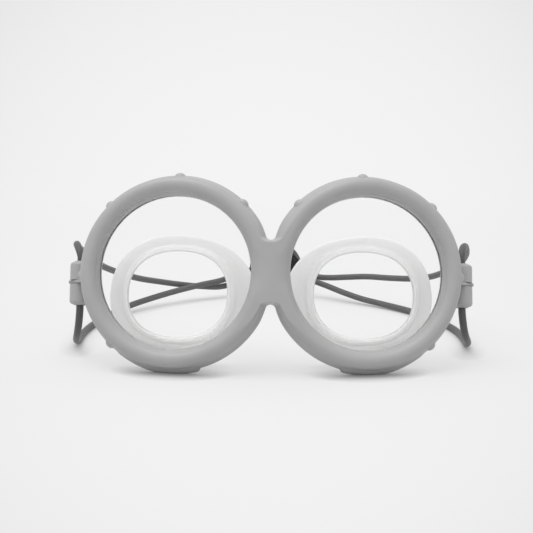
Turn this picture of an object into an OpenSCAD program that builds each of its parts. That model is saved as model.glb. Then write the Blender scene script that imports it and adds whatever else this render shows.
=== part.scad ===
// Round-eyed swimming goggles, standing on their rims and leaning back on the cord lock.
// The strap is one loop of elastic cord. It runs through a swivelling guide at each temple
// and through a sprung cord lock behind. Millimetres, X to the right, Y to the back, Z up.
// An eye ring is drawn in its own frame: X towards the temple, Y to the back, Z up.

/* [Stance] */
// Lean of the frame away from the viewer, in degrees
lean = 16.3; // [10:0.1:20]
// Turn of each eye ring about the bridge, in degrees
wrap = 7.5; // [4:0.1:10]

/* [Eye rings] */
// Outer radius of the ring at its back edge
ring_r = 35.3; // [32:0.1:40]
// How much wider the ring is at its back edge than at its front crease
ring_flare = 1.3; // [0.8:0.1:1.8]
// How far the back edges of the two rings reach into each other
ring_overlap = 1.2; // [0.8:0.1:2]
// Width of the rounded front face
face_w = 5.8; // [5.2:0.1:7.5]
// Height of the rounded front face above its creases
crown_h = 2.32; // [1.8:0.04:2.8]
// Depth of the front frame's side wall
front_wall = 2.2; // [1.6:0.1:3.4]
// Depth of the rear ring
rear_wall = 2.8; // [2.8:0.1:4]
// Narrowing of the opening along the front frame's wall
opening_draft = 0.35; // [0.1:0.05:0.6]
// Width of the lip behind the lens
back_lip = 2.6; // [2:0.1:2.8]
// Chamfer round the back edge of the ring
back_chamfer = 0.4; // [0.2:0.1:0.6]

/* [Bridge] */
// Height of the bridge at its notches
bridge_h = 23.2; // [20:0.1:24]
// Radius of the notch above and below the bridge
notch_r = 1.65; // [1.5:0.05:1.9]
// How far the web stands in front of the crease
bridge_front = 0.9; // [0.4:0.1:1.4]

/* [Lens] */
// How far the lens reaches under the front frame
lens_lap = 1.95; // [1.5:0.05:2.1]
// Thickness of the lens
lens_t = 1.6; // [1.2:0.1:1.8]
// Thickness of the flat seal behind the lens
seal_t = 0.6; // [0.4:0.1:0.7]
// Width of the flat seal
seal_w = 1.9; // [1.4:0.1:2.1]
// Gap between the lens or seal and the seat round it
seat_gap = 0.1; // [0.05:0.05:0.2]

/* [Gasket] */
// Half width of the window in the gasket
window_a = 18; // [16:0.1:19]
// Half height of the window in the gasket
window_b = 15.3; // [13:0.1:16]
// Width of the foot that is bonded to the lens
foot_w = 1.9; // [1.4:0.1:2.2]
// Half width of the face flange
flange_a = 27.5; // [25:0.1:28]
// Half height of the face flange
flange_b = 22.1; // [21:0.1:24]
// Depth of the gasket behind the lens
gasket_depth = 10.4; // [8:0.1:12]
// Extra depth at the temple, taken off at the nose
gasket_skew = 1.6; // [0:0.1:2.5]
// Thickness of the gasket's wall
gasket_wall = 1.3; // [1:0.1:1.6]
// Gap between the gasket's foot and the seal, at the bottom
foot_gap = 3; // [2.5:0.1:5]
// How far the window's centre lies towards the nose
window_nose = 0.7; // [0:0.1:1.5]
// Tilt of the face flange, up at the temple, in degrees
flange_tilt = 9.5; // [0:0.5:12]
// How far the flange's centre lies towards the temple from the window's
flange_out = 0.4; // [0:0.1:1]

/* [Rim studs and rest pad] */
// Radius of a stud's domed head
stud_r = 2.3; // [2:0.1:2.5]
// How far a stud's head stands out of the ring
stud_proud = 1.2; // [0.8:0.1:1.5]
// Radius of a stud's shank
shank_r = 0.9; // [0.6:0.1:1]
// Length of a stud's shank inside the ring
shank_len = 2.2; // [1.6:0.1:2.6]
// Where the rest pad starts on the nose side of the ring's lowest point, in degrees
pad_nose = 15; // [12:0.5:18]
// Where the rest pad ends on the temple side, in degrees
pad_temple = 38; // [30:0.5:38]
// How far the rest pad stands out of the ring
pad_proud = 0.9; // [0.8:0.1:1.4]
// Depth of the flat under the rest pad
pad_flat = 0.5; // [0.2:0.1:0.6]

/* [Strap guide] */
// Distance of the guide's axis outside the ring's back edge
guide_out = 1.8; // [1.5:0.1:4]
// Distance of the guide's axis behind the ring's back edge
guide_back = 5; // [4.8:0.1:7]
// How far the guide's middle lies below the ring's centre
guide_drop = 3.2; // [2.5:0.1:5]
// Thickness of the guide's wall round the sleeve
guide_wall = 1.5; // [1.4:0.1:1.8]
// Height of the guide's barrel
guide_h = 15.6; // [14:0.1:20]
// Rounding of the barrel's ends
guide_round = 1.4; // [0.8:0.1:1.4]
// Thickness of the spine behind the barrel
spine_t = 1.5; // [1.2:0.1:2]
// Half width of the spine
spine_half_w = 2.4; // [2:0.1:2.6]
// Thickness of the lug that holds the guide
lug_t = 1.2; // [1.2:0.1:1.6]
// How far the lug lies above the guide's middle
lug_up = 0.4; // [0:0.1:0.6]
// Thickness of the lug's boss round the sleeve
boss_wall = 1.05; // [0.8:0.05:1.2]
// How far the lug's nose stands out of the barrel
nose_proud = 0.5; // [0.3:0.1:0.8]
// Half width of the lug's nose
nose_half_w = 0.8; // [0.5:0.1:1]
// Gap above and below the lug
lug_gap = 0.15; // [0.1:0.05:0.25]
// Gap between the lug's boss and the guide
boss_gap = 0.2; // [0.15:0.05:0.3]
// Thickness of the hollow pivot sleeve
sleeve_wall = 0.75; // [0.6:0.05:1]
// Running gap round the sleeve
pivot_gap = 0.06; // [0.03:0.01:0.1]
// How far the sleeve stands out of the barrel at each end
sleeve_proud = 0.3; // [0.1:0.1:0.6]

/* [Cord] */
// Diameter of the elastic cord
cord_d = 2.7; // [2.4:0.1:2.7]
// Gap round the cord in the sleeve
cord_gap = 0.15; // [0.1:0.05:0.2]

/* [Cord lock] */
// Radius of the lock's barrel
lock_r = 12.5; // [11:0.1:13]
// Length of the lock's barrel
lock_len = 20; // [19:0.1:22]
// Chamfer at the barrel's ends
lock_chamfer = 1.4; // [0.5:0.1:1.8]
// Radius of the plunger
plunger_r = 8; // [7.4:0.1:8.5]
// Running gap round the plunger
plunger_gap = 0.06; // [0.03:0.01:0.1]
// Thickness of the barrel's closed end
lock_floor = 2.2; // [1.6:0.1:2.6]
// Travel of the plunger when the lock is pressed
press_travel = 3.5; // [2.5:0.1:3.6]
// Distance from the barrel's open end to the cord holes
hole_back = 8; // [7.5:0.1:8.5]
// How far the cord holes lie below the barrel's axis
hole_drop = 2.2; // [1:0.1:3]
// Half the distance between the two cord holes
hole_offset = 1.9; // [1.8:0.1:2.4]
// Gap round the cord in the cord holes
hole_gap = 0.2; // [0.1:0.05:0.25]
// Gap between the cord and the plunger's window
window_gap = 0.15; // [0.1:0.05:0.3]
// Length of the plunger in front of its window
plunger_nose = 2; // [1.5:0.1:2.3]
// Length of the button that stands out of the barrel
button_len = 5; // [4.5:0.1:7]
// Rounding of the button's edge
button_edge = 1; // [0.4:0.1:1.5]
// Diameter of the spring's wire
wire_d = 0.7; // [0.5:0.1:0.8]
// Mean radius of the spring's coil
coil_r = 5; // [4:0.1:6]
// Number of turns of the spring
coil_turns = 3; // [2:1:4]

/* [Hidden] */

LEFT = -1;
RIGHT = 1;
smooth = 96;
small_smooth = 48;

// Colours
frame_grey = [0.62, 0.62, 0.62];
milky = [0.88, 0.88, 0.87, 0.75];
clear = [0.92, 0.94, 0.95, 0.25];
seal_grey = [0.8, 0.8, 0.79];
cord_grey = [0.36, 0.36, 0.36];
lock_black = [0.07, 0.07, 0.07];
steel = [0.7, 0.7, 0.72];

// Radii of the ring, and depths measured back from the front crease
crease_r = ring_r - ring_flare;
opening_r = crease_r - face_w;
mid_r = (crease_r + opening_r) / 2;
ring_depth = front_wall + rear_wall;
draft = ring_flare / ring_depth;
joint_r = crease_r + draft * front_wall;
opening_back_r = opening_r - opening_draft;
lens_r = opening_back_r + lens_lap;
seat_r = lens_r + seat_gap;
back_opening_r = seat_r - back_lip;
lens_back = front_wall + lens_t;
seat_back = lens_back + seal_t;
eye_pitch = 2 * ring_r - ring_overlap;
// How far the window's centre lies below the ring's
window_drop = lens_r - seal_w - foot_w - window_b - foot_gap;

// The crown is one arc over the face between the creases
crown_r = (pow(face_w / 2, 2) + pow(crown_h, 2)) / (2 * crown_h);
crown_y = crown_r - crown_h;

// The web ends where the crowns rise through its front
notch_z = bridge_h / 2 + notch_r;
web_top = notch_z - 0.6;
web_meet_r = mid_r + sqrt(pow(crown_r, 2) - pow(crown_y + bridge_front, 2));
bridge_half_w = eye_pitch / 2 - sqrt(pow(web_meet_r, 2) - pow(web_top, 2));

// Rest pad
pad_r = ring_r + pad_proud;
pad_y = ring_depth - back_chamfer;
pad_root = 1.6;
stand_z = pad_r * cos(lean) + (eye_pitch / 2 * sin(wrap) + pad_y * cos(wrap)) * sin(lean) - pad_flat;

// Studs, as angles from the temple towards the top
stud_angles = [-1.5, 45, 92, 135, 312.5];
stud_y = front_wall + rear_wall / 2;

// Guide
guide_x = ring_r + guide_out;
guide_y = ring_depth + guide_back;
guide_z = -guide_drop;
cord_r = cord_d / 2;
sleeve_bore_r = cord_r + cord_gap;
sleeve_r = sleeve_bore_r + sleeve_wall;
sleeve_half = guide_h / 2 + sleeve_proud;
pivot_r = sleeve_r + pivot_gap;
guide_r = pivot_r + guide_wall;
boss_r = sleeve_r + boss_wall;
boss_clear_r = boss_r + boss_gap;
slot_half = lug_t / 2 + lug_gap;
slot_back = 2.9;
spine_back = boss_clear_r + spine_t;
spine_h = guide_h - 2 * guide_round;

// Lock, standing on its rim behind the goggles, with its axis to the back
lock_x = 1.8;
hole_y = 131;
hole_z = lock_r - hole_drop;
lock_back = hole_y + hole_back;
lock_front = lock_back - lock_len;
hole_r = cord_r + hole_gap;
plunger_bore_r = plunger_r + plunger_gap;
bore_floor = lock_front + lock_floor;
window_front = hole_y - cord_r - window_gap;
window_back = hole_y + cord_r + window_gap + press_travel;
window_half = hole_offset + cord_r + hole_gap;
plunger_front = window_front - plunger_nose;
button_end = lock_back + button_len;
lock_half = lock_r + 1;

// The frame stands with the middle of its depth over the origin
crown_reach = mid_r * sqrt(pow(sin(wrap) * cos(lean), 2) + pow(sin(lean), 2));
front_reach = crown_r + crown_reach - (eye_pitch / 2 * sin(wrap) + crown_y * cos(wrap)) * cos(lean);
spine_y = (guide_x + spine_half_w + eye_pitch / 2) * sin(wrap) + (guide_y + spine_back) * cos(wrap);
back_reach = spine_y * cos(lean) + (guide_z + spine_h / 2) * sin(lean);
stand_y = (front_reach - back_reach) / 2;

// Puts the whole goggles over the origin
module placed() {
  translate([0, stand_y, 0]) children();
}

// Leans the frame back on its rest pads
module stand() {
  placed() translate([0, 0, stand_z]) rotate([-lean, 0, 0]) children();
}

// One eye ring's own frame, mirrored for the left eye
module eye(side) {
  mirror([side == LEFT ? 1 : 0, 0, 0]) rotate([0, 0, wrap]) translate([eye_pitch / 2, 0, 0]) children();
}

// Turns a profile of radius and depth round the ring's axis
module turned() {
  rotate([-90, 0, 0]) rotate_extrude($fn = smooth) children();
}

module disc(r, y0, y1, fn = smooth) {
  translate([0, y0, 0]) rotate([-90, 0, 0]) cylinder(r = r, h = y1 - y0, $fn = fn);
}

module bezel_profile() {
  polygon([
    [opening_r, 0],
    [crease_r, 0],
    [joint_r, front_wall],
    [opening_back_r, front_wall]
  ]);
  intersection() {
    translate([mid_r, crown_y]) circle(r = crown_r, $fn = smooth);
    translate([opening_r, -crown_h]) square([face_w, crown_h]);
  }
}

// Block of the web, before its notches
module bridge_block(y0, y1) {
  translate([-bridge_half_w, y0, -web_top]) cube([2 * bridge_half_w, y1 - y0, 2 * web_top]);
}

module bridge() {
  difference() {
    bridge_block(-bridge_front, ring_depth);
    for (end = [-1, 1])
      translate([0, 0, end * notch_z]) disc(notch_r, -bridge_front - 1, ring_depth + 1, small_smooth);
    for (side = [LEFT, RIGHT])
      eye(side) disc(back_opening_r, -crown_h, ring_depth + 3);
  }
}

module front_frame() {
  color(frame_grey) stand() {
    for (side = [LEFT, RIGHT])
      eye(side) turned() bezel_profile();
    bridge();
  }
}

module rear_profile() {
  polygon([
    [seat_r, front_wall],
    [joint_r, front_wall],
    [ring_r - draft * back_chamfer, ring_depth - back_chamfer],
    [ring_r - back_chamfer, ring_depth],
    [back_opening_r, ring_depth],
    [back_opening_r, seat_back],
    [seat_r, seat_back]
  ]);
}

// Thickening under the ring that it stands on
module rest_pad() {
  reach = 2 * pad_r;
  middle = (pad_temple - pad_nose) / 2;
  intersection() {
    difference() {
      disc(pad_r, front_wall, pad_y);
      disc(ring_r - pad_root, 0, ring_depth);
    }
    translate([0, ring_depth, 0]) rotate([90, 0, 0]) linear_extrude(ring_depth) polygon([
      [0, 0],
      [-reach * sin(pad_nose), -reach * cos(pad_nose)],
      [reach * sin(middle), -reach * cos(middle)],
      [reach * sin(pad_temple), -reach * cos(pad_temple)]
    ]);
  }
}

// Everything below the surface that the frame stands on
module floor_cut() {
  reach = 3 * ring_r;
  placed() translate([-reach, -reach, -reach]) cube([2 * reach, 2 * reach, reach]);
}

// Flat lug that carries the strap guide, in the plane of X and Y
module lug_outline() {
  root_r = seat_r + 3.4;
  root_y = front_wall + 0.5;
  side_x = boss_r * cos(20);
  side_y = boss_r * sin(20);
  difference() {
    union() {
      polygon([
        [root_r, root_y],
        [crease_r + draft * root_y, root_y],
        [guide_x + side_x, guide_y - side_y],
        [guide_x - side_x, guide_y + side_y],
        [root_r, ring_depth]
      ]);
      translate([guide_x, guide_y]) circle(r = boss_r, $fn = smooth);
      translate([guide_x, guide_y - nose_half_w]) square([guide_r + nose_proud, 2 * nose_half_w]);
    }
    translate([guide_x, guide_y]) circle(r = sleeve_r, $fn = smooth);
  }
}

module lug() {
  translate([0, 0, guide_z + lug_up - lug_t / 2]) linear_extrude(lug_t) lug_outline();
}

module stud_place(angle) {
  rotate([0, -angle, 0]) children();
}

module rear_ring(side) {
  color(frame_grey) difference() {
    stand() difference() {
      eye(side) {
        turned() rear_profile();
        rest_pad();
        lug();
      }
      bridge_block(0, ring_depth + 4);
      eye(side) for (angle = stud_angles)
        stud_place(angle) translate([ring_r - shank_len, stud_y, 0]) rotate([0, 90, 0])
          cylinder(r = shank_r, h = shank_len + 1, $fn = small_smooth);
    }
    floor_cut();
  }
}

module stud() {
  head_x = ring_r + stud_proud - stud_r;
  wall_r = crease_r + draft * stud_y;
  difference() {
    translate([head_x, stud_y, 0]) sphere(r = stud_r, $fn = small_smooth);
    turned() polygon([
      [head_x - stud_r - 3, stud_y - 2 * stud_r],
      [wall_r - draft * 2 * stud_r, stud_y - 2 * stud_r],
      [wall_r + draft * 2 * stud_r, stud_y + 2 * stud_r],
      [head_x - stud_r - 3, stud_y + 2 * stud_r]
    ]);
  }
  translate([ring_r - shank_len, stud_y, 0]) rotate([0, 90, 0])
    cylinder(r = shank_r, h = shank_len + stud_proud * 0.5, $fn = small_smooth);
}

// The lug takes a slice off the stud beside it
module rim_studs(side) {
  color(frame_grey) stand() eye(side) difference() {
    for (angle = stud_angles) stud_place(angle) stud();
    lug();
  }
}

module lens(side) {
  color(clear) stand() eye(side) disc(lens_r, front_wall, lens_back);
}

module lens_seal(side) {
  color(seal_grey) stand() eye(side) difference() {
    disc(lens_r, lens_back, seat_back);
    disc(lens_r - seal_w, lens_back - 1, seat_back + 1);
  }
}

// Gasket: a flared shell whose sections are rounded boxes between an ellipse and a square.
// The sections turn and move outwards with their depth.
gasket_steps = 48;
gasket_power = 2.25;

// One section: half width, half height, share of the depth
gasket_outer = [
  [window_a + foot_w, window_b + foot_w, 0],
  [window_a + foot_w, window_b + foot_w, 0.12],
  [window_a + foot_w + 0.9, window_b + foot_w + 0.9, 0.32],
  [flange_a - 3.2, flange_b - 3.2, 0.72],
  [flange_a - 2.2, flange_b - 2.2, 0.8],
  [flange_a - 0.4, flange_b - 0.4, 0.86],
  [flange_a, flange_b, 0.93],
  [flange_a - 0.4, flange_b - 0.4, 1]
];
gasket_inner = [
  [flange_a - 2.6, flange_b - 2.6, 1],
  [flange_a - 3.2 - gasket_wall, flange_b - 3.2 - gasket_wall, 0.86],
  [window_a + foot_w + 0.9 - gasket_wall, window_b + foot_w + 0.9 - gasket_wall, 0.36],
  [window_a + 0.2, window_b + 0.2, 0.14],
  [window_a, window_b, 0]
];

function rounded_power(v) = sign(v) * pow(abs(v), 2 / gasket_power);

function gasket_point(s, angle) =
  let (
    tilt = s[2] * flange_tilt,
    across = s[0] * rounded_power(cos(angle)),
    up = s[1] * rounded_power(sin(angle))
  )
  [
    across * cos(tilt) - up * sin(tilt) - window_nose + s[2] * flange_out,
    lens_back + s[2] * (gasket_depth + gasket_skew * cos(angle)),
    across * sin(tilt) + up * cos(tilt) - window_drop
  ];

// Triangles of a closed tube of rings: each ring joins the next, and the last joins the first
function ring_faces(rings, sides) = [
  for (i = [0:rings - 1], j = [0:sides - 1])
    let (
      k = (i + 1) % rings,
      m = (j + 1) % sides,
      a = i * sides + j,
      b = i * sides + m,
      c = k * sides + m,
      d = k * sides + j
    )
    each [[a, b, c], [a, c, d]]
];

module gasket(side) {
  sections = concat(gasket_outer, gasket_inner);
  points = [
    for (s = sections, j = [0:gasket_steps - 1]) gasket_point(s, j * 360 / gasket_steps)
  ];
  color(milky) stand() eye(side)
    polyhedron(points, ring_faces(len(sections), gasket_steps), convexity = 6);
}

module at_guide() {
  translate([guide_x, guide_y, guide_z]) children();
}

module guide_sleeve(side) {
  color(frame_grey) stand() eye(side) at_guide() difference() {
    cylinder(r = sleeve_r, h = 2 * sleeve_half, center = true, $fn = smooth);
    cylinder(r = sleeve_bore_r, h = 2 * sleeve_half + 2, center = true, $fn = smooth);
  }
}

// Half profile of the barrel with its rounded ends
module barrel_profile() {
  square_h = guide_h / 2 - guide_round;
  translate([0, -guide_h / 2]) square([guide_r - guide_round, guide_h]);
  translate([0, -square_h]) square([guide_r, 2 * square_h]);
  for (end = [-1, 1])
    translate([guide_r - guide_round, end * square_h]) circle(r = guide_round, $fn = smooth);
}

module strap_guide(side) {
  color(frame_grey) stand() eye(side) at_guide() difference() {
    union() {
      rotate_extrude($fn = smooth) barrel_profile();
      translate([-spine_half_w, 0, -spine_h / 2]) cube([2 * spine_half_w, spine_back, spine_h]);
    }
    cylinder(r = pivot_r, h = guide_h + 2, center = true, $fn = smooth);
    translate([0, 0, lug_up]) {
      cylinder(r = boss_clear_r, h = 2 * slot_half, center = true, $fn = smooth);
      translate([-2 * guide_r, -2 * guide_r, -slot_half])
        cube([4 * guide_r, 2 * guide_r + slot_back, 2 * slot_half]);
    }
  }
}

module cord_core(side) {
  color(cord_grey) stand() eye(side) at_guide()
    cylinder(r = cord_r, h = 2 * sleeve_half, center = true, $fn = small_smooth);
}

// Where the sleeve's ends and its axis lie in the frame of placed()
function eye_x(p) = (p[0] + eye_pitch / 2) * cos(wrap) - p[1] * sin(wrap);
function eye_y(p) = (p[0] + eye_pitch / 2) * sin(wrap) + p[1] * cos(wrap);
function stand_point(side, p) = [
  side * eye_x(p),
  eye_y(p) * cos(lean) + p[2] * sin(lean),
  -eye_y(p) * sin(lean) + p[2] * cos(lean) + stand_z
];
function sleeve_end(side, t) = stand_point(side, [guide_x, guide_y, guide_z + t]);
function lock_end(side, level) = [lock_x + side * lock_half, hole_y, hole_z + level * hole_offset];

// Routes of the free stretches, between the sleeve and the lock
upper_left_route = [
  [-70.7, 21.9, 39.6], [-71.9, 24.9, 40.9], [-73.1, 29.8, 40.8], [-73.7, 36.5, 38.4],
  [-73.7, 44, 35.7], [-73.2, 53.5, 31.7], [-72, 63, 28], [-70.2, 72, 24.4],
  [-67.5, 81, 21], [-63.7, 90, 17.5], [-58.4, 99.5, 14], [-51.6, 108.6, 11],
  [-43, 116.4, 8.2], [-33, 122.2, 6.1], [-25, 126, 5.2], [-19.5, 129, 5.9]
];
upper_right_route = [
  [70.3, 21.9, 39.6], [71.1, 24.9, 41], [72.7, 29.8, 40.9], [74.4, 36.5, 38.4],
  [75.8, 44.5, 35.3], [76.3, 53.5, 31.6], [75.7, 63, 27.8], [74.4, 72, 24.2],
  [72.2, 81, 20.8], [68.8, 90, 17.6], [62.4, 100, 14.8], [53.4, 109.5, 13.2],
  [43.5, 116.6, 12.4], [34.5, 121.6, 11.1], [27.5, 125.8, 10], [21.9, 129.2, 9.8]
];
lower_left_route = [
  [-70.5, 15.3, 13.8], [-71.6, 18, 9.6], [-73, 23.3, 6.2], [-74.3, 30, 3.6],
  [-75.2, 38.5, 1.6], [-75.5, 47.5, 1.4], [-75, 57.5, 1.4], [-73.3, 68, 1.4],
  [-69.6, 80, 1.9], [-62.8, 93, 3.1], [-53.1, 104.5, 4.5], [-42.5, 112.8, 6.2],
  [-32.5, 119.2, 7.6], [-24.5, 124.6, 8.4], [-19, 128.6, 9.8]
];
lower_right_route = [
  [70.7, 15.3, 13.8], [72, 18, 9.6], [73.8, 23.3, 6.2], [75.2, 30, 3.6],
  [76.2, 38.5, 1.6], [76.5, 47.5, 1.4], [75.8, 57.5, 1.4], [73.3, 68.5, 1.4],
  [68.5, 81, 1.4], [60.8, 94, 1.5], [51.1, 105, 1.8], [41.5, 113.2, 2.6],
  [33, 119.2, 4.4], [26, 124.2, 6.3], [21, 127.8, 7.5]
];

// How far the cord runs straight out of the sleeve and into the lock
sleeve_run = 1.5;
lock_run = 1.5;

// The whole route of one free stretch
function stretch(side, end, level, route) =
  let (l = lock_end(side, level))
  concat(
    [sleeve_end(side, end * sleeve_half), sleeve_end(side, end * (sleeve_half + sleeve_run))],
    route,
    [l + [side * lock_run, 0, 0], l]
  );

function unit(v) = v / norm(v);

// Direction of the route at point i
function heading(p, i) =
  i == 0 ? unit(p[1] - p[0])
  : i == len(p) - 1 ? unit(p[i] - p[i - 1])
  : unit(unit(p[i + 1] - p[i]) + unit(p[i] - p[i - 1]));

cord_sides = 8;

// The side of u that is square to the route, so that the tube doesn't twist from ring to ring
function square_to(u, dir) = unit(u - (u * dir) * dir);

// One sideways direction a ring, carried along the route from the first
function carried(p) = [
  for (i = 0, u = square_to([1, 0, 0], heading(p, 0)); i < len(p);
    i = i + 1, u = i < len(p) ? square_to(u, heading(p, i)) : u) u
];

function cord_ring(c, dir, u) =
  let (v = cross(dir, u))
  [for (j = [0:cord_sides - 1])
    c + cord_r * (cos(j * 360 / cord_sides) * u + sin(j * 360 / cord_sides) * v)];

// A tube along a route, closed at both ends
module swept(p) {
  n = len(p);
  sideways = carried(p);
  points = [for (i = [0:n - 1]) each cord_ring(p[i], heading(p, i), sideways[i])];
  sides = [
    for (i = [0:n - 2], j = [0:cord_sides - 1])
      let (
        m = (j + 1) % cord_sides,
        a = i * cord_sides + j,
        b = i * cord_sides + m,
        c = a + cord_sides,
        d = b + cord_sides
      )
      each [[a, b, d], [a, d, c]]
  ];
  first = [for (j = [0:cord_sides - 1]) cord_sides - 1 - j];
  last = [for (j = [0:cord_sides - 1]) (n - 1) * cord_sides + j];
  polyhedron(points, concat(sides, [first, last]), convexity = 8);
}

module cord_stretch(side, end, level, route) {
  color(cord_grey) placed() swept(stretch(side, end, level, route));
}

module cord_through_lock() {
  color(cord_grey) placed() for (level = [-1, 1])
    translate([lock_x, hole_y, hole_z + level * hole_offset]) rotate([0, 90, 0])
      cylinder(r = cord_r, h = 2 * lock_half, center = true, $fn = small_smooth);
}

// A disc of the lock, between two depths
module lock_disc(r, y0, y1) {
  placed() translate([lock_x, 0, lock_r]) disc(r, y0, y1);
}

module lock_body() {
  color(lock_black) difference() {
    placed() translate([lock_x, 0, lock_r]) turned() polygon([
      [0, lock_front],
      [lock_r - lock_chamfer, lock_front],
      [lock_r, lock_front + lock_chamfer],
      [lock_r, lock_back - lock_chamfer],
      [lock_r - lock_chamfer, lock_back],
      [0, lock_back]
    ]);
    lock_disc(plunger_bore_r, bore_floor, lock_back + 1);
    placed() for (level = [-1, 1])
      translate([lock_x, hole_y, hole_z + level * hole_offset]) rotate([0, 90, 0])
        cylinder(r = hole_r, h = 3 * lock_r, center = true, $fn = small_smooth);
  }
}

module lock_button() {
  color(lock_black) difference() {
    placed() translate([lock_x, 0, lock_r]) turned() polygon([
      [0, plunger_front],
      [plunger_r, plunger_front],
      [plunger_r, button_end - button_edge],
      [plunger_r - button_edge, button_end],
      [0, button_end]
    ]);
    placed() translate([lock_x - 2 * plunger_r, window_front, hole_z - window_half])
      cube([4 * plunger_r, window_back - window_front, 2 * window_half]);
  }
}

// Compression spring between the barrel's closed end and the plunger
module lock_spring() {
  rings_a_turn = 10;
  wire_sides = 6;
  wire_r = wire_d / 2;
  seat = 0.02;
  y0 = bore_floor + wire_r + seat;
  y1 = plunger_front - wire_r - seat;
  n = coil_turns * rings_a_turn + 1;
  points = [
    for (i = [0:n - 1])
      let (
        a = i * 360 / rings_a_turn,
        y = y0 + (y1 - y0) * i / (n - 1),
        out = [cos(a), 0, sin(a)],
        c = [lock_x, y, lock_r] + coil_r * out
      )
      for (j = [0:wire_sides - 1])
        c + wire_r * (cos(j * 360 / wire_sides) * out + sin(j * 360 / wire_sides) * [0, 1, 0])
  ];
  sides = [
    for (i = [0:n - 2], j = [0:wire_sides - 1])
      let (
        m = (j + 1) % wire_sides,
        a = i * wire_sides + j,
        b = i * wire_sides + m,
        c = a + wire_sides,
        d = b + wire_sides
      )
      each [[a, d, b], [a, c, d]]
  ];
  first = [for (j = [0:wire_sides - 1]) j];
  last = [for (j = [0:wire_sides - 1]) n * wire_sides - 1 - j];
  color(steel) placed() polyhedron(points, concat(sides, [first, last]), convexity = 8);
}

front_frame();
rear_ring(LEFT);  // rear_ring_left
rear_ring(RIGHT);  // rear_ring_right
rim_studs(LEFT);  // rim_studs_left
rim_studs(RIGHT);  // rim_studs_right
lens(LEFT);  // lens_left
lens(RIGHT);  // lens_right
lens_seal(LEFT);  // lens_seal_left
lens_seal(RIGHT);  // lens_seal_right
gasket(LEFT);  // gasket_left
gasket(RIGHT);  // gasket_right
guide_sleeve(LEFT);  // guide_sleeve_left
guide_sleeve(RIGHT);  // guide_sleeve_right
strap_guide(LEFT);  // strap_guide_left
strap_guide(RIGHT);  // strap_guide_right
cord_core(LEFT);  // cord_core_left
cord_core(RIGHT);  // cord_core_right
cord_stretch(LEFT, 1, -1, upper_left_route);  // cord_upper_left
cord_stretch(RIGHT, 1, 1, upper_right_route);  // cord_upper_right
cord_stretch(LEFT, -1, 1, lower_left_route);  // cord_lower_left
cord_stretch(RIGHT, -1, -1, lower_right_route);  // cord_lower_right
cord_through_lock();
lock_body();
lock_button();
lock_spring();
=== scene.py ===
"""Looks of a pair of round-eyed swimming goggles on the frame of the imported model.

Sizes are in millimetres. An eye ring is drawn in its own plan: u towards the temple,
v up, and y for the depth behind the front crease. Stance turns plans into the row frame.
"""

from __future__ import annotations

import logging
import math
from collections.abc import Iterator
from contextlib import contextmanager
from dataclasses import dataclass, field
from enum import Enum

import bmesh
import bpy
import numpy as np
from mathutils import Euler, Matrix


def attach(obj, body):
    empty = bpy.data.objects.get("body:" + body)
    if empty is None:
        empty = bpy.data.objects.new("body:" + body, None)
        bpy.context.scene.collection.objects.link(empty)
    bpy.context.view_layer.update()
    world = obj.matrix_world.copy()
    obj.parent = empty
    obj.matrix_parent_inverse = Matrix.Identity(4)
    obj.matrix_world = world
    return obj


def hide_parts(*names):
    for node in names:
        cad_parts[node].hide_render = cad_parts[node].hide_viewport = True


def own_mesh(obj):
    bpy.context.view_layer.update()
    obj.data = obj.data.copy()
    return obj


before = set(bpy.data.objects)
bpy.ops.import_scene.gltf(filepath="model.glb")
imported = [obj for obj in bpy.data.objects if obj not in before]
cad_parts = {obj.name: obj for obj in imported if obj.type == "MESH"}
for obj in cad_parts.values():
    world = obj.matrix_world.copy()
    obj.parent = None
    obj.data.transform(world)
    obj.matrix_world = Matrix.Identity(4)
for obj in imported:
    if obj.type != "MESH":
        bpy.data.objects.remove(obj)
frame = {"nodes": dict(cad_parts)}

log = logging.getLogger("goggles")

MM = 0.001
UV_NAME = "along"

# Distances in metres under which points become one, and angles over which edges stay sharp
WELD_M = 1e-6
HALVES_WELD_M = 4e-6
COPY_WELD_M = 2e-6
CREASE_DEG = 40.0
COPY_CREASE_DEG = 30.0

# On a copy, faces that meet at less than the first angle join, and edges over the second are eased
FLAT_DEG = 0.6
EASE_DEG = 38.0

# Share of a turn on either side of a map's seam, in which a face's corners cross it
SEAM_SHARE = 0.25

# Points of a spline's first pass, for each point asked for
SPLINE_FINENESS = 12

# Cosine over which a path is taken to run along an axis
NEAR_ALONG = 0.9

# Axis of a strap guide in x and y, and the height of its middle, in the eye's own frame
GUIDE_AT = (37.1, 10.0, -3.2)

Piece = bpy.types.Object
Socket = bpy.types.NodeSocket
Points = tuple[tuple[float, ...], ...]


class Side(Enum):
    """Side of the photograph that a mirrored piece is on."""

    LEFT = -1
    RIGHT = 1

    @property
    def word(self) -> str:
        """The side's word in piece names."""
        return self.name.lower()


# Curves


def cos_sin(degrees: float) -> tuple[float, float]:
    """Cosine and sine of an angle in degrees."""
    return math.cos(math.radians(degrees)), math.sin(math.radians(degrees))


def turns(count: int) -> np.ndarray:
    """Evenly spaced angles of one full turn, in radians."""
    return np.linspace(0.0, 2 * math.pi, count, endpoint=False)


def polar(radius: np.ndarray | float, angle: np.ndarray) -> np.ndarray:
    """Plan points at a distance and an angle from the middle."""
    return np.stack([radius * np.cos(angle), radius * np.sin(angle)], -1)


def smooth_step(low: float, high: float, value: np.ndarray | float) -> np.ndarray:
    """Rises from 0 at low to 1 at high, level at both ends: 3 t^2 - 2 t^3.

    Args:
        low: Where the rise starts.
        high: Where it ends.
        value: The places asked for.

    Returns:
        The share at each place.
    """
    share = np.clip((np.asarray(value, dtype=float) - low) / (high - low), 0.0, 1.0)
    return share * share * (3.0 - 2.0 * share)


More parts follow.
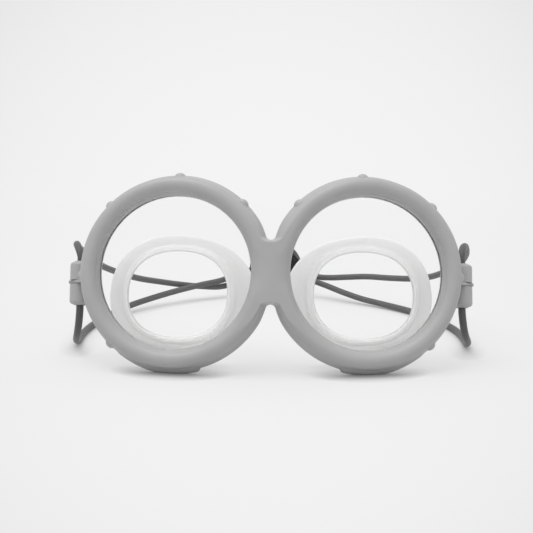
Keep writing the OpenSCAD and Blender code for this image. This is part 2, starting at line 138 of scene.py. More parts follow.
def run_along(line: np.ndarray) -> np.ndarray:
    """Distance of each point of a line from its first one, along the line."""
    return np.concatenate([[0.0], np.cumsum(np.linalg.norm(np.diff(line, axis=0), axis=1))])


def spline(points: np.ndarray, samples: int) -> np.ndarray:
    """Centripetal Catmull-Rom curve through points, spaced evenly along its length.

    Args:
        points: Points that the curve passes, one a row.
        samples: Number of points asked for.

    Returns:
        Points on the curve, evenly spaced.
    """
    steps = np.sqrt(np.linalg.norm(np.diff(points, axis=0), axis=1))
    knots = np.concatenate([[0.0], np.cumsum(steps)])
    spans = np.diff(knots)
    ahead = np.diff(points, axis=0) / spans[:, None]
    slopes = np.empty_like(points)
    slopes[0], slopes[-1] = ahead[0], ahead[-1]
    weighed = ahead[:-1] * spans[1:, None] + ahead[1:] * spans[:-1, None]
    slopes[1:-1] = weighed / (spans[1:] + spans[:-1])[:, None]
    dense = np.linspace(0.0, knots[-1], samples * SPLINE_FINENESS)
    k = np.clip(np.searchsorted(knots, dense, side="right") - 1, 0, len(spans) - 1)
    span = spans[k][:, None]
    t = (dense - knots[k])[:, None] / span
    curve = (
        (2 * t**3 - 3 * t**2 + 1) * points[k]
        + (t**3 - 2 * t**2 + t) * span * slopes[k]
        + (-2 * t**3 + 3 * t**2) * points[k + 1]
        + (t**3 - t**2) * span * slopes[k + 1]
    )
    length = run_along(curve)
    even = np.linspace(0.0, length[-1], samples)
    return np.stack([np.interp(even, length, column) for column in curve.T], -1)


# Meshes


@dataclass
class Surface:
    """A grid of points, with the directions in which it closes on itself."""

    points: np.ndarray
    close_rows: bool = False
    close_columns: bool = False
    uv: np.ndarray | None = None
    cap_rows: bool = False

    def faces(self) -> list[list[int]]:
        """Corner numbers of the grid's quads, row by row, and of its caps.

        Returns:
            One list of corner numbers for each face.
        """
        rows, columns = self.points.shape[:2]
        last_row = rows if self.close_rows else rows - 1
        last_column = columns if self.close_columns else columns - 1
        i, j = np.meshgrid(np.arange(last_row), np.arange(last_column), indexing="ij")
        k, m = (i + 1) % rows, (j + 1) % columns
        corners = [i * columns + j, i * columns + m, k * columns + m, k * columns + j]
        faces = np.stack(corners, -1).reshape(-1, 4).tolist()
        if self.cap_rows:
            first = list(range(columns))
            faces += [first[::-1], [(rows - 1) * columns + c for c in first]]
        return faces


@contextmanager
def edited(mesh: bpy.types.Mesh) -> Iterator[bmesh.types.BMesh]:
    """Opens a mesh for editing and writes it back at the end.

    Args:
        mesh: The mesh.

    Yields:
        The mesh as it is edited.
    """
    work = bmesh.new()
    work.from_mesh(mesh)
    yield work
    work.to_mesh(mesh)
    work.free()


def piece_from(name: str, surfaces: list[Surface], merge: float = WELD_M) -> Piece:
    """Builds one object from surfaces, merges their seams and turns their faces outwards.

    Args:
        name: The piece's name.
        surfaces: The grids, with points in millimetres, all of them with a UV or none.
        merge: Distance in metres under which points become one, or 0 to leave them as they are.

    Returns:
        The new object, in the scene's collection.
    """
    points, faces, start = [], [], 0
    for surface in surfaces:
        points.append(surface.points.reshape(-1, 3))
        faces += [[corner + start for corner in face] for face in surface.faces()]
        start += len(points[-1])
    mesh = bpy.data.meshes.new(name)
    mesh.from_pydata(np.concatenate(points) * MM, [], faces)
    uvs = [surface.uv.reshape(-1, 2) for surface in surfaces if surface.uv is not None]
    if uvs:
        lay_uv(mesh, np.concatenate(uvs))
    if merge > 0:
        with edited(mesh) as work:
            bmesh.ops.remove_doubles(work, verts=work.verts, dist=merge)
            bmesh.ops.recalc_face_normals(work, faces=work.faces)
    return add_object(name, mesh)


def lay_uv(mesh: bpy.types.Mesh, uv: np.ndarray) -> None:
    """Writes one UV pair a vertex, and keeps faces that cross the seam whole.

    A face crosses the seam where one corner's u is in the last quarter of the turn and
    another's in the first, which then gets a full turn more.

    Args:
        mesh: The mesh to write to.
        uv: One pair a vertex, where u is the share of a turn.
    """
    layer = mesh.uv_layers.new(name=UV_NAME)
    corner = np.empty(len(mesh.loops), dtype=np.int64)
    mesh.loops.foreach_get("vertex_index", corner)
    values = uv[corner]
    starts = np.empty(len(mesh.polygons), dtype=np.int64)
    mesh.polygons.foreach_get("loop_start", starts)
    owner = np.repeat(np.arange(len(starts)), np.diff(np.append(starts, len(corner))))
    highest = np.zeros(len(starts))
    np.maximum.at(highest, owner, values[:, 0])
    wraps = (highest[owner] > 1.0 - SEAM_SHARE) & (values[:, 0] < SEAM_SHARE)
    values[wraps, 0] += 1.0
    layer.data.foreach_set("uv", values.ravel())


def add_object(name: str, mesh: bpy.types.Mesh, crease_deg: float = CREASE_DEG) -> Piece:
    """Puts a mesh into the scene with smooth faces and sharp creases.

    Args:
        name: The object's name.
        mesh: Its mesh.
        crease_deg: Angle between faces over which an edge stays sharp.

    Returns:
        The new object.
    """
    mesh.shade_smooth()
    mesh.set_sharp_from_angle(angle=math.radians(crease_deg))
    piece = bpy.data.objects.new(name, mesh)
    bpy.context.scene.collection.objects.link(piece)
    return piece


def eased_copy(node: str, name: str, radius: float, segments: int = 3) -> Piece:
    """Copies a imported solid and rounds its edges, as a mould leaves them.

    Args:
        node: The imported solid's node.
        name: The copy's name.
        radius: Rounding of the edges in millimetres.
        segments: Steps across each rounding.

    Returns:
        The copy.
    """
    mesh = frame["nodes"][node].data.copy()
    mesh.name = name
    with edited(mesh) as work:
        bmesh.ops.remove_doubles(work, verts=work.verts, dist=COPY_WELD_M)
        flat = math.radians(FLAT_DEG)
        bmesh.ops.dissolve_limit(work, angle_limit=flat, verts=work.verts, edges=work.edges)
    piece = add_object(name, mesh, COPY_CREASE_DEG)
    bevel = piece.modifiers.new("Eased edges", "BEVEL")
    bevel.width = radius * MM
    bevel.segments = segments
    bevel.limit_method = "ANGLE"
    bevel.angle_limit = math.radians(EASE_DEG)
    return piece


def dress(
    piece: Piece, node: str, finish: bpy.types.Material, body: str = "frame"
) -> Piece:
    """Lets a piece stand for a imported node, with its finish and its body.

    Args:
        piece: The new piece.
        node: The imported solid's node.
        finish: The piece's material.
        body: The body that the piece rides on.

    Returns:
        The piece.
    """
    piece.data.materials.clear()
    piece.data.materials.append(finish)
    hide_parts(node)
    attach(piece, body)
    log.info("%s rides on %s", piece.name, body)
    return piece


# Stance


@dataclass(frozen=True)
class Stance:
    """How the goggles stand: leaning back, with each eye ring turned about the bridge."""

    lean_deg: float = 16.3
    wrap_deg: float = 7.5
    eye_pitch: float = 69.4
    shift_y: float = -8.4523
    shift_z: float = 36.7962
    round_over: float = 3.4
    turn_fade: float = 5.0

    def lean(self, points: np.ndarray) -> np.ndarray:
        """Leans points of the upright frame back and stands them on the floor.

        Args:
            points: Upright points, one a row at the end of the array.

        Returns:
            The points in the row frame, in millimetres.
        """
        c, s = cos_sin(self.lean_deg)
        x, y, z = points[..., 0], points[..., 1], points[..., 2]
        return np.stack([x, y * c + z * s + self.shift_y, -y * s + z * c + self.shift_z], -1)

    def from_eye(self, side: Side, points: np.ndarray) -> np.ndarray:
        """Turns points of one eye's own frame into the row frame.

        Args:
            side: The eye's side.
            points: Points with x to the temple, y to the back and z up.

        Returns:
            The points in the row frame, in millimetres.
        """
        c, s = cos_sin(self.wrap_deg)
        x, y, z = points[..., 0] + self.eye_pitch / 2, points[..., 1], points[..., 2]
        return self.lean(np.stack([side.value * (x * c - y * s), x * s + y * c, z], -1))

    def from_plan(self, side: Side, plan: np.ndarray, depth: np.ndarray) -> np.ndarray:
        """Turns a ring's plan and depth into the row frame, and meets the other ring at x = 0.

        The turn of the ring fades out close to the middle, where the two rings run into one
        another: |x| is rounded over to x^2 / 2w + w / 2, so the bridge is one smooth saddle.

        Args:
            side: The ring's side.
            plan: Plan points (u, v), at the end of the array.
            depth: Depth behind the front crease, of the same shape.

        Returns:
            The points in the row frame, in millimetres.
        """
        c, s = cos_sin(self.wrap_deg)
        x, w = plan[..., 0] + self.eye_pitch / 2, self.round_over
        soft = np.where(x < w, x * x / (2 * w) + w / 2, x)
        turned = smooth_step(0.0, self.turn_fade, x)
        across = side.value * (x * c - depth * s * turned)
        return self.lean(np.stack([across, soft * s + depth * c, plan[..., 1]], -1))


# Finishes


@dataclass(frozen=True)
class Noise:
    """A noise pattern: its scale to the metre, its layers and their weight."""

    scale: float
    detail: float = 2.0
    roughness: float = 0.5


class NodeBench:
    """Adds nodes to one material or world and wires them, with less typing."""

    def __init__(self, name: str, world: bool = False) -> None:
        """Starts an empty material or world with its output.

        Args:
            name: Its name.
            world: Whether it is a world.
        """
        self.material = bpy.data.worlds.new(name) if world else bpy.data.materials.new(name)
        self.material.use_nodes = True
        self.tree = self.material.node_tree
        self.tree.nodes.clear()
        self.output = self.add("ShaderNodeOutputWorld" if world else "ShaderNodeOutputMaterial")

    def feed(self, socket: Socket, value: object) -> None:
        """Wires a socket to another one, or gives it a constant.

        Args:
            socket: The input.
            value: A socket, or the constant.
        """
        if isinstance(value, Socket):
            self.tree.links.new(value, socket)
        else:
            socket.default_value = value

    def add(self, kind: str, **values: object) -> bpy.types.Node:
        """Adds a node and sets its properties, and its sockets by name or number.

        Args:
            kind: The node's type name.
            **values: Properties, or sockets with _ for a space, or _ and a number.

        Returns:
            The new node.
        """
        node = self.tree.nodes.new(kind)
        for key, value in values.items():
            if hasattr(node, key):
                setattr(node, key, value)
            else:
                place = int(key[1:]) if key[0] == "_" else key.replace("_", " ")
                self.feed(node.inputs[place], value)
        return node

    def math(
        self, operation: str, first: object, second: object = 0.0, third: object = 0.0
    ) -> Socket:
        """Adds one operation on numbers.

        Args:
            operation: The Math node's operation.
            first: Its first value or socket.
            second: Its second value or socket.
            third: Its third value or socket, which only some operations use.

        Returns:
            The result's socket.
        """
        node = self.add("ShaderNodeMath", operation=operation, _0=first, _1=second, _2=third)
        return node.outputs[0]

    def ramp(self, factor: Socket, value: float, tones: Points, tint: float = 0.0) -> Socket:
        """Adds a ramp of greys, warmer where tint is over 0.

        Args:
            factor: What drives it.
            value: The linear grey that the tones are shares of.
            tones: Places on the ramp with their tones.
            tint: The greys' warmth.

        Returns:
            The colour's socket.
        """
        node = self.add("ShaderNodeValToRGB", _0=factor)
        elements = node.color_ramp.elements
        while len(elements) < len(tones):
            elements.new(0.5)
        for element, (place, tone) in zip(elements, tones):
            grey = value * tone
            element.position = place
            element.color = (grey * (1.0 + tint), grey, grey * (1.0 - tint), 1.0)
        return node.outputs[0]

    def uneven(self, factor: Socket, middle: float, spread: float) -> Socket:
        """A value that a noise moves up and down by half of its spread."""
        return self.math("MULTIPLY_ADD", factor, spread, middle - spread / 2)

    def place(self) -> Socket:
        """The place on the piece, in metres."""
        return self.add("ShaderNodeTexCoord").outputs["Object"]

    def noise(self, kind: Noise) -> Socket:
        """Adds a noise over the place on the piece.

        Args:
            kind: Its pattern.

        Returns:
            The socket of its value.
        """
        node = self.add(
            "ShaderNodeTexNoise",
            Vector=self.place(), Scale=kind.scale, Detail=kind.detail, Roughness=kind.roughness,
        )
        return node.outputs[0]

    def uv(self) -> tuple[Socket, Socket]:
        """The sockets of u and v on the piece's own map."""
        uv = self.add("ShaderNodeUVMap", uv_map=UV_NAME)
        split = self.add("ShaderNodeSeparateXYZ", Vector=uv.outputs[0])
        return split.outputs[0], split.outputs[1]

    def bump(self, height: Socket, strength: float, depth_m: float) -> Socket:
        """Adds fine relief.

        Args:
            height: What drives it.
            strength: Its strength.
            depth_m: Its depth in metres.

        Returns:
            The normal's socket.
        """
        node = self.add("ShaderNodeBump", Strength=strength, Distance=depth_m, Height=height)
        return node.outputs[0]

    def dot(self, first: Socket, second: object) -> Socket:
        """Adds the dot product of a vector and another one, or its socket."""
        node = self.add("ShaderNodeVectorMath", operation="DOT_PRODUCT", _0=first, _1=second)
        return node.outputs["Value"]

    def seen(self) -> Socket:
        """1 for rays that show the background: camera, glossy and transmission rays.

        Returns:
            The share's socket.
        """
        rays = self.add("ShaderNodeLightPath").outputs
        mirrored = self.math("ADD", rays["Is Glossy Ray"], rays["Is Transmission Ray"])
        total = self.math("ADD", rays["Is Camera Ray"], mirrored)
        total.node.use_clamp = True
        return total

    def finish(self, shader: bpy.types.Node) -> bpy.types.Material | bpy.types.World:
        """Wires the last shader to the output, and gives the material or world."""
        self.tree.links.new(shader.outputs[0], self.output.inputs["Surface"])
        return self.material


@dataclass(frozen=True)
class MouldedFinish:
    """Satin moulded plastic: a fine spark-eroded grain, faint flow marks and soft sheen."""

    name: str
    value: float
    roughness: float
    grain: float = 0.05
    mottling: float = 0.03
    gloss: float = 0.45
    cloud: Noise = Noise(55.0, 3.0, 0.55)
    pits: Noise = Noise(2600.0, 2.0, 0.6)
    pit_m: float = 0.00004
    uneven: float = 0.10

    def make(self) -> bpy.types.Material:
        """Builds the material: noise at two sizes drives colour, roughness and bump.

        Returns:
            The material.
        """
        bench = NodeBench(self.name)
        cloud = bench.noise(self.cloud)
        tones = ((0.35, 1.0 - self.mottling), (0.65, 1.0 + self.mottling))
        shader = bench.add(
            "ShaderNodeBsdfPrincipled",
            Base_Color=bench.ramp(cloud, self.value, tones),
            Roughness=bench.uneven(cloud, self.roughness, self.uneven),
            Normal=bench.bump(bench.noise(self.pits), self.grain, self.pit_m),
            Specular_IOR_Level=self.gloss,
        )
        return bench.finish(shader)


@dataclass(frozen=True)
class SiliconeFinish:
    """Milky soft rubber that light passes a little way into."""

    name: str = "milky_silicone"
    value: float = 0.91
    roughness: float = 0.55
    depth: tuple[float, float, float] = (0.026, 0.026, 0.0252)
    scatter: float = 0.9
    gloss: float = 0.05
    tones: Points = ((0.3, 0.975), (0.7, 1.02))
    tint: float = 0.004
    # Band of painted shade round the window, where the section darkens towards its edge
    window_shade_band: float = 0.0
    window_shade_fade: float = 0.1
    window_shade_tone: float = 0.55
    cloud: Noise = Noise(90.0)
    skin: Noise = Noise(1800.0)
    skin_bump: float = 0.06
    skin_m: float = 0.00004
    uneven: float = 0.12

    def make(self) -> bpy.types.Material:
        """Builds the material: pale base, light scattered inside, fine matte bump.

        Where a window shade band is given, the section fades before v = 1 - band to a darker
        tone round the window: painted shade along the window's edge.

        Returns:
            The material.
        """
        bench = NodeBench(self.name)
        cloud = bench.noise(self.cloud)
        colour = bench.ramp(cloud, self.value, self.tones, self.tint)
        if self.window_shade_band > 0.0:
            start = 1.0 - self.window_shade_band
            # Painted shade: the colour darkens towards the window's edge
            line = bench.add(
                "ShaderNodeMapRange", Value=bench.uv()[1], From_Min=start - self.window_shade_fade,
                From_Max=start, To_Min=1.0, To_Max=self.window_shade_tone,
            ).outputs[0]
            scaled = bench.add("ShaderNodeVectorMath", operation="SCALE", _0=colour, _3=line)
            colour = scaled.outputs["Vector"]
        shader = bench.add(
            "ShaderNodeBsdfPrincipled",
            Base_Color=colour,
            Roughness=bench.uneven(cloud, self.roughness, self.uneven),
            Normal=bench.bump(bench.noise(self.skin), self.skin_bump, self.skin_m),
            Subsurface_Weight=self.scatter,
            Subsurface_Radius=self.depth,
            Subsurface_Scale=1.0,
            Specular_IOR_Level=self.gloss,
        )
        return bench.finish(shader)


@dataclass(frozen=True)
class LensFinish:
    """Clear polished plastic that shows only as a faint gloss."""

    name: str = "clear_lens"
    colour: tuple[float, float, float, float] = (0.93, 0.94, 0.945, 1.0)
    opacity: float = 0.018
    roughness: float = 0.035
    uneven: float = 0.03
    index: float = 1.5
    haze: Noise = Noise(140.0)

    def make(self) -> bpy.types.Material:
        """Builds the material: nearly see-through, with a polished gloss.

        Returns:
            The material.
        """
        bench = NodeBench(self.name)
        haze = bench.noise(self.haze)
        shader = bench.add(
            "ShaderNodeBsdfPrincipled",
            Base_Color=self.colour,
            Roughness=bench.uneven(haze, self.roughness, self.uneven),
            Alpha=self.opacity,
            IOR=self.index,
        )
        return bench.finish(shader)


@dataclass(frozen=True)
class BraidFinish:
    """Braided sleeve of an elastic cord: strands cross at a slant, over and under."""

    name: str = "braided_cord"
    value: float = 0.075
    strands: float = 12.0
    pitch_m: float = 0.0036
    roughness: float = 0.52
    fibre: Noise = Noise(3200.0, 2.0, 0.6)
    fibre_share: float = 0.25
    # Tones over the strand height: darker in the grooves between strands, painted shade, and
    # lighter on the crowns
    tones: Points = ((0.08, 0.55), (0.45, 1.0), (0.95, 1.28))
    relief: float = 0.3
    relief_m: float = 0.00006
    fuzz: float = 0.12
    fuzz_roughness: float = 0.5

    def make(self) -> bpy.types.Material:
        """Builds the material: two slanted waves round the cord, u turns and v metres along.

        The strand height is the root of the product of |sin| of the two waves, so that each
        crossing is a pillow, with a share of fine fibre noise. The height also sets the colour,
        darker in the grooves between strands: painted shade.

        Returns:
            The material.
        """
        bench = NodeBench(self.name)
        u, v = bench.uv()
        around = bench.math("MULTIPLY", u, math.pi * self.strands)
        along = bench.math("MULTIPLY", v, math.pi * self.strands / self.pitch_m)
        waves = [
            bench.math("ABSOLUTE", bench.math("SINE", bench.math(slant, around, along)))
            for slant in ("ADD", "SUBTRACT")
        ]
        pillow = bench.math("POWER", bench.math("MULTIPLY", *waves), 0.5)
        fibre = bench.math("MULTIPLY", bench.noise(self.fibre), self.fibre_share)
        height = bench.math("ADD", bench.math("MULTIPLY", pillow, 1.0 - self.fibre_share), fibre)
        shader = bench.add(
            "ShaderNodeBsdfPrincipled",
            Base_Color=bench.ramp(height, self.value, self.tones),
            Normal=bench.bump(height, self.relief, self.relief_m),
            Roughness=self.roughness,
            Sheen_Weight=self.fuzz,
            Sheen_Roughness=self.fuzz_roughness,
        )
        return bench.finish(shader)


@dataclass(frozen=True)
class WireFinish:
    """Drawn spring wire with fine marks."""

    name: str = "drawn_wire"
    value: float = 0.55
    tones: Points = ((0.3, 0.9), (0.7, 1.1))
    roughness: float = 0.3
    uneven: float = 0.2
    marks: Noise = Noise(1500.0, 3.0, 0.6)

    def make(self) -> bpy.types.Material:
        """Builds the material: metal whose tone and roughness vary with a noise.

        Returns:
            The material.
        """
        bench = NodeBench(self.name)
        marks = bench.noise(self.marks)
        shader = bench.add(
            "ShaderNodeBsdfPrincipled",
            Base_Color=bench.ramp(marks, self.value, self.tones),
            Roughness=bench.uneven(marks, self.roughness, self.uneven),
            Metallic=1.0,
        )
        return bench.finish(shader)


Finish = MouldedFinish | SiliconeFinish | LensFinish | BraidFinish | WireFinish


def made(finish: Finish) -> bpy.types.Material:
    """A dataclass field that makes the finish's material when it is first filled."""
    return field(default_factory=finish.make)


@dataclass
class Finishes:
    """Every material of the goggles, made once."""

    frame: bpy.types.Material = made(MouldedFinish("satin_grey", 0.395, 0.42))
    studs: bpy.types.Material = made(MouldedFinish("smooth_grey", 0.41, 0.34, grain=0.02))
    lens: bpy.types.Material = made(LensFinish())
    seal: bpy.types.Material = made(SiliconeFinish("seal_rubber", 0.9, 0.5))
    # The gasket is darkened round its window with painted shade
    gasket: bpy.types.Material = made(SiliconeFinish(window_shade_band=0.12))
    cord: bpy.types.Material = made(BraidFinish())
    lock: bpy.types.Material = made(
        MouldedFinish("satin_black", 0.006, 0.45, grain=0.08, mottling=0.15, gloss=0.05)
    )
    spring: bpy.types.Material = made(WireFinish())


# Rings and bridge


@dataclass(frozen=True)
class RingPlan:
    """Plan of one eye ring: round, and run into the other ring over a filleted bridge.

    The depths of what the ring holds are counted from the front crease, as all depths are.
    """

    opening_r: float = 28.2
    crease_r: float = 34.0
    crown_h: float = 2.32
    draft: float = 0.26
    bezel_back: float = 2.2
    lens_back: float = 3.8
    seat_back: float = 4.4
    back: float = 5.0
    notch_z: float = 13.5
    half_pitch: float = 34.7
    notch_tight: tuple[float, float] = (3.0, 12.0)
    notch_spread: float = 5.0
    notch_fill: tuple[float, float] = (0.35, 1.0)
    inner_fade: float = 0.8
    ring_steps: int = 264
    notch_steps: int = 14
    web_steps: int = 26

    @property
    def face_half(self) -> float:
        """Half of the crowned face's width."""
        return (self.crease_r - self.opening_r) / 2

    @property
    def arc_r(self) -> float:
        """Radius of the crown's arc."""
        return (self.face_half**2 + self.crown_h**2) / (2 * self.crown_h)

    @property
    def full_flare(self) -> float:
        """How far the outline is flared at the ring's back."""
        return self.draft * self.back

    @property
    def touch(self) -> float:
        """Angle between the level and the line from an eye's centre to a notch's centre."""
        return math.atan2(self.notch_z, self.half_pitch)

    def notch_r(
        self, flare: float, fall: np.ndarray | float, below: np.ndarray | bool
    ) -> np.ndarray:
        """Radius of the bridge's notch, which touches the ring's outline at that flare.

        Towards the middle line the notch is filled up, part of the way to the outline at the
        full flare above the bridge, and all of the way below it.

        Args:
            flare: Distance of the ring's outline outside the front crease.
            fall: Angle below the level through the notch's centre.
            below: Where the notch is the one under the bridge.

        Returns:
            The radius.
        """
        share = np.where(below, self.notch_fill[1], self.notch_fill[0])
        share = share * smooth_step(self.touch, math.pi / 2, fall)
        full = math.hypot(self.half_pitch, self.notch_z) - self.crease_r - flare
        return full - share * (self.full_flare - flare)

    def notch_arc(self, flare: float, below: bool) -> np.ndarray:
        """Arc of a notch from the ring down to the middle line, drawn as the upper one.

        Args:
            flare: Distance of the ring's outline outside the front crease.
            below: Whether the notch is the one under the bridge.

        Returns:
            Plan points, one a row.
        """
        fall = np.linspace(self.touch, math.pi / 2, self.notch_steps + 1)[1:]
        arc = polar(self.notch_r(flare, fall, below), fall)
        return np.stack([arc[:, 0] - self.half_pitch, self.notch_z - arc[:, 1]], -1)

    def outline(self, flare: float) -> np.ndarray:
        """Outer outline of a ring, flared outwards, up to the middle of the bridge.

        It is an arc round the eye, then the notch's arc, then the middle line, and the same
        again below: all three touch smoothly.

        Args:
            flare: Distance outside the front crease.

        Returns:
            One plan point a column.
        """
        reach = math.pi - self.touch
        ring = polar(self.crease_r + flare, np.linspace(-reach, reach, self.ring_steps))
        upper = self.notch_arc(flare, below=False)
        lower = self.notch_arc(flare, below=True)[::-1] * np.array([1.0, -1.0])
        share = 0.5 - 0.5 * np.cos(np.linspace(0.0, math.pi, self.web_steps + 1))[1:-1]
        level = upper[-1, 1] + (lower[0, 1] - upper[-1, 1]) * share
        web = np.stack([np.full_like(level, -self.half_pitch), level], -1)
        return np.concatenate([ring, upper, web, lower])

    def bearing(self) -> np.ndarray:
        """Direction of each column from the eye's centre, in radians."""
        outline = self.outline(0.0)
        return np.arctan2(outline[:, 1], outline[:, 0])

    def circle(self, radius: float) -> np.ndarray:
        """A circle round the eye's centre, with the outline's columns."""
        return polar(radius, self.bearing())

    def crown(self, plan: np.ndarray) -> np.ndarray:
        """Depth of the crowned front at plan points.

        One arc rises from every edge: it depends on the least distance to the opening or to
        the outline, up to half of the face's width, and is level beyond that. Towards the
        middle line the distance to the outline counts more, as a bell curve, so the arc is
        tighter round the bridge's notches, and the inner arc is broader, up to that line.

        Args:
            plan: Plan points, at the end of the array.

        Returns:
            The depth, negative in front of the crease.
        """
        radius = np.hypot(plan[..., 0], plan[..., 1])
        side_on, down = plan[..., 0] + self.half_pitch, self.notch_z - np.abs(plan[..., 1])
        edge = self.notch_r(0.0, np.arctan2(down, side_on), plan[..., 1] < 0.0)
        inside = self.touch - np.abs(np.arctan2(plan[..., 1], -plan[..., 0]))
        outer = np.where(inside > 0.0, np.hypot(side_on, down) - edge, self.crease_r - radius)
        above, below = self.notch_tight
        tight = np.where(plan[..., 1] > 0.0, above, below) - 1.0
        tight *= np.exp(-((side_on / self.notch_spread) ** 2))
        broad = self.face_half / (self.half_pitch - self.opening_r)
        spread = (1.0 - broad) * smooth_step(0.0, self.inner_fade * self.touch, inside)
        inner = (radius - self.opening_r) * (1.0 - spread)
        near = np.clip(np.minimum(outer * (1.0 + tight), inner), 0.0, self.face_half)
        rise = np.sqrt(self.arc_r**2 - (self.face_half - near) ** 2) - (self.arc_r - self.crown_h)
        return -rise


@dataclass
class SubAssembly:
    """What every sub-assembly is built with."""

    stance: Stance
    plan: RingPlan
    finishes: Finishes


@dataclass
class EyePart(SubAssembly):
    """A sub-assembly of one eye, drawn towards the right temple and mirrored to its side."""

    side: Side


@dataclass
class FrontFrame(SubAssembly):
    """The moulded front: two crowned bezels that run into a saddle bridge."""

    lip_w: float = 0.8
    lip: Points = (
        (1.0, 1.0), (0.65, 0.84), (0.4, 0.69), (0.22, 0.52), (0.1, 0.32), (0.04, 0.17),
        (0.01, 0.06),
    )
    skirt: tuple[float, ...] = (0.12, 0.5, 1.0, 1.5, 2.02)
    back_ease: float = 0.14
    face_steps: int = 34

    def rows(self) -> tuple[np.ndarray, np.ndarray]:
        """Plan and depth of every row, from the back of the opening round to the back edge.

        The opening's wall narrows to the back, so that it faces the viewer a little.

        Returns:
            Plan points of shape (rows, columns, 2) and depths of shape (rows, columns).
        """
        plan, depth = [], []
        for back, inwards in self.lip:
            plan.append(self.plan.circle(self.plan.opening_r - self.lip_w * inwards))
            depth.append(np.full(len(plan[0]), self.plan.bezel_back * back))
        inner, outer = self.plan.circle(self.plan.opening_r), self.plan.outline(0.0)
        reach = math.asin(self.plan.face_half / self.plan.arc_r)
        for turn in np.linspace(-reach, reach, self.face_steps):
            share = 0.5 + 0.5 * math.sin(turn) / math.sin(reach)
            plan.append(inner + share * (outer - inner))
            depth.append(self.plan.crown(plan[-1]))
        for y, inset in (*((y, 0.0) for y in self.skirt), (self.plan.bezel_back, self.back_ease)):
            plan.append(self.plan.outline(self.plan.draft * y - inset))
            depth.append(np.full(len(outer), y))
        return np.array(plan), np.array(depth)

    def build(self) -> Piece:
        """Builds both halves as one piece and dresses it.

        Returns:
            The front frame.
        """
        plan, depth = self.rows()
        halves = [
            Surface(self.stance.from_plan(side, plan, depth), close_rows=True, close_columns=True)
            for side in Side
        ]
        piece = piece_from("front_frame_moulding", halves, merge=HALVES_WELD_M)
        drop_middle_wall(piece.data)
        return dress(piece, "front_frame", self.finishes.frame)


def drop_middle_wall(mesh: bpy.types.Mesh) -> None:
    """Takes out the faces inside the bridge, where the two halves meet at x = 0.

    Args:
        mesh: The welded mesh of both halves.
    """
    with edited(mesh) as work:
        inside = [f for f in work.faces if all(abs(v.co.x) < WELD_M for v in f.verts)]
        bmesh.ops.delete(work, geom=inside, context="FACES")
        bmesh.ops.recalc_face_normals(work, faces=work.faces)
    mesh.set_sharp_from_angle(angle=math.radians(CREASE_DEG))


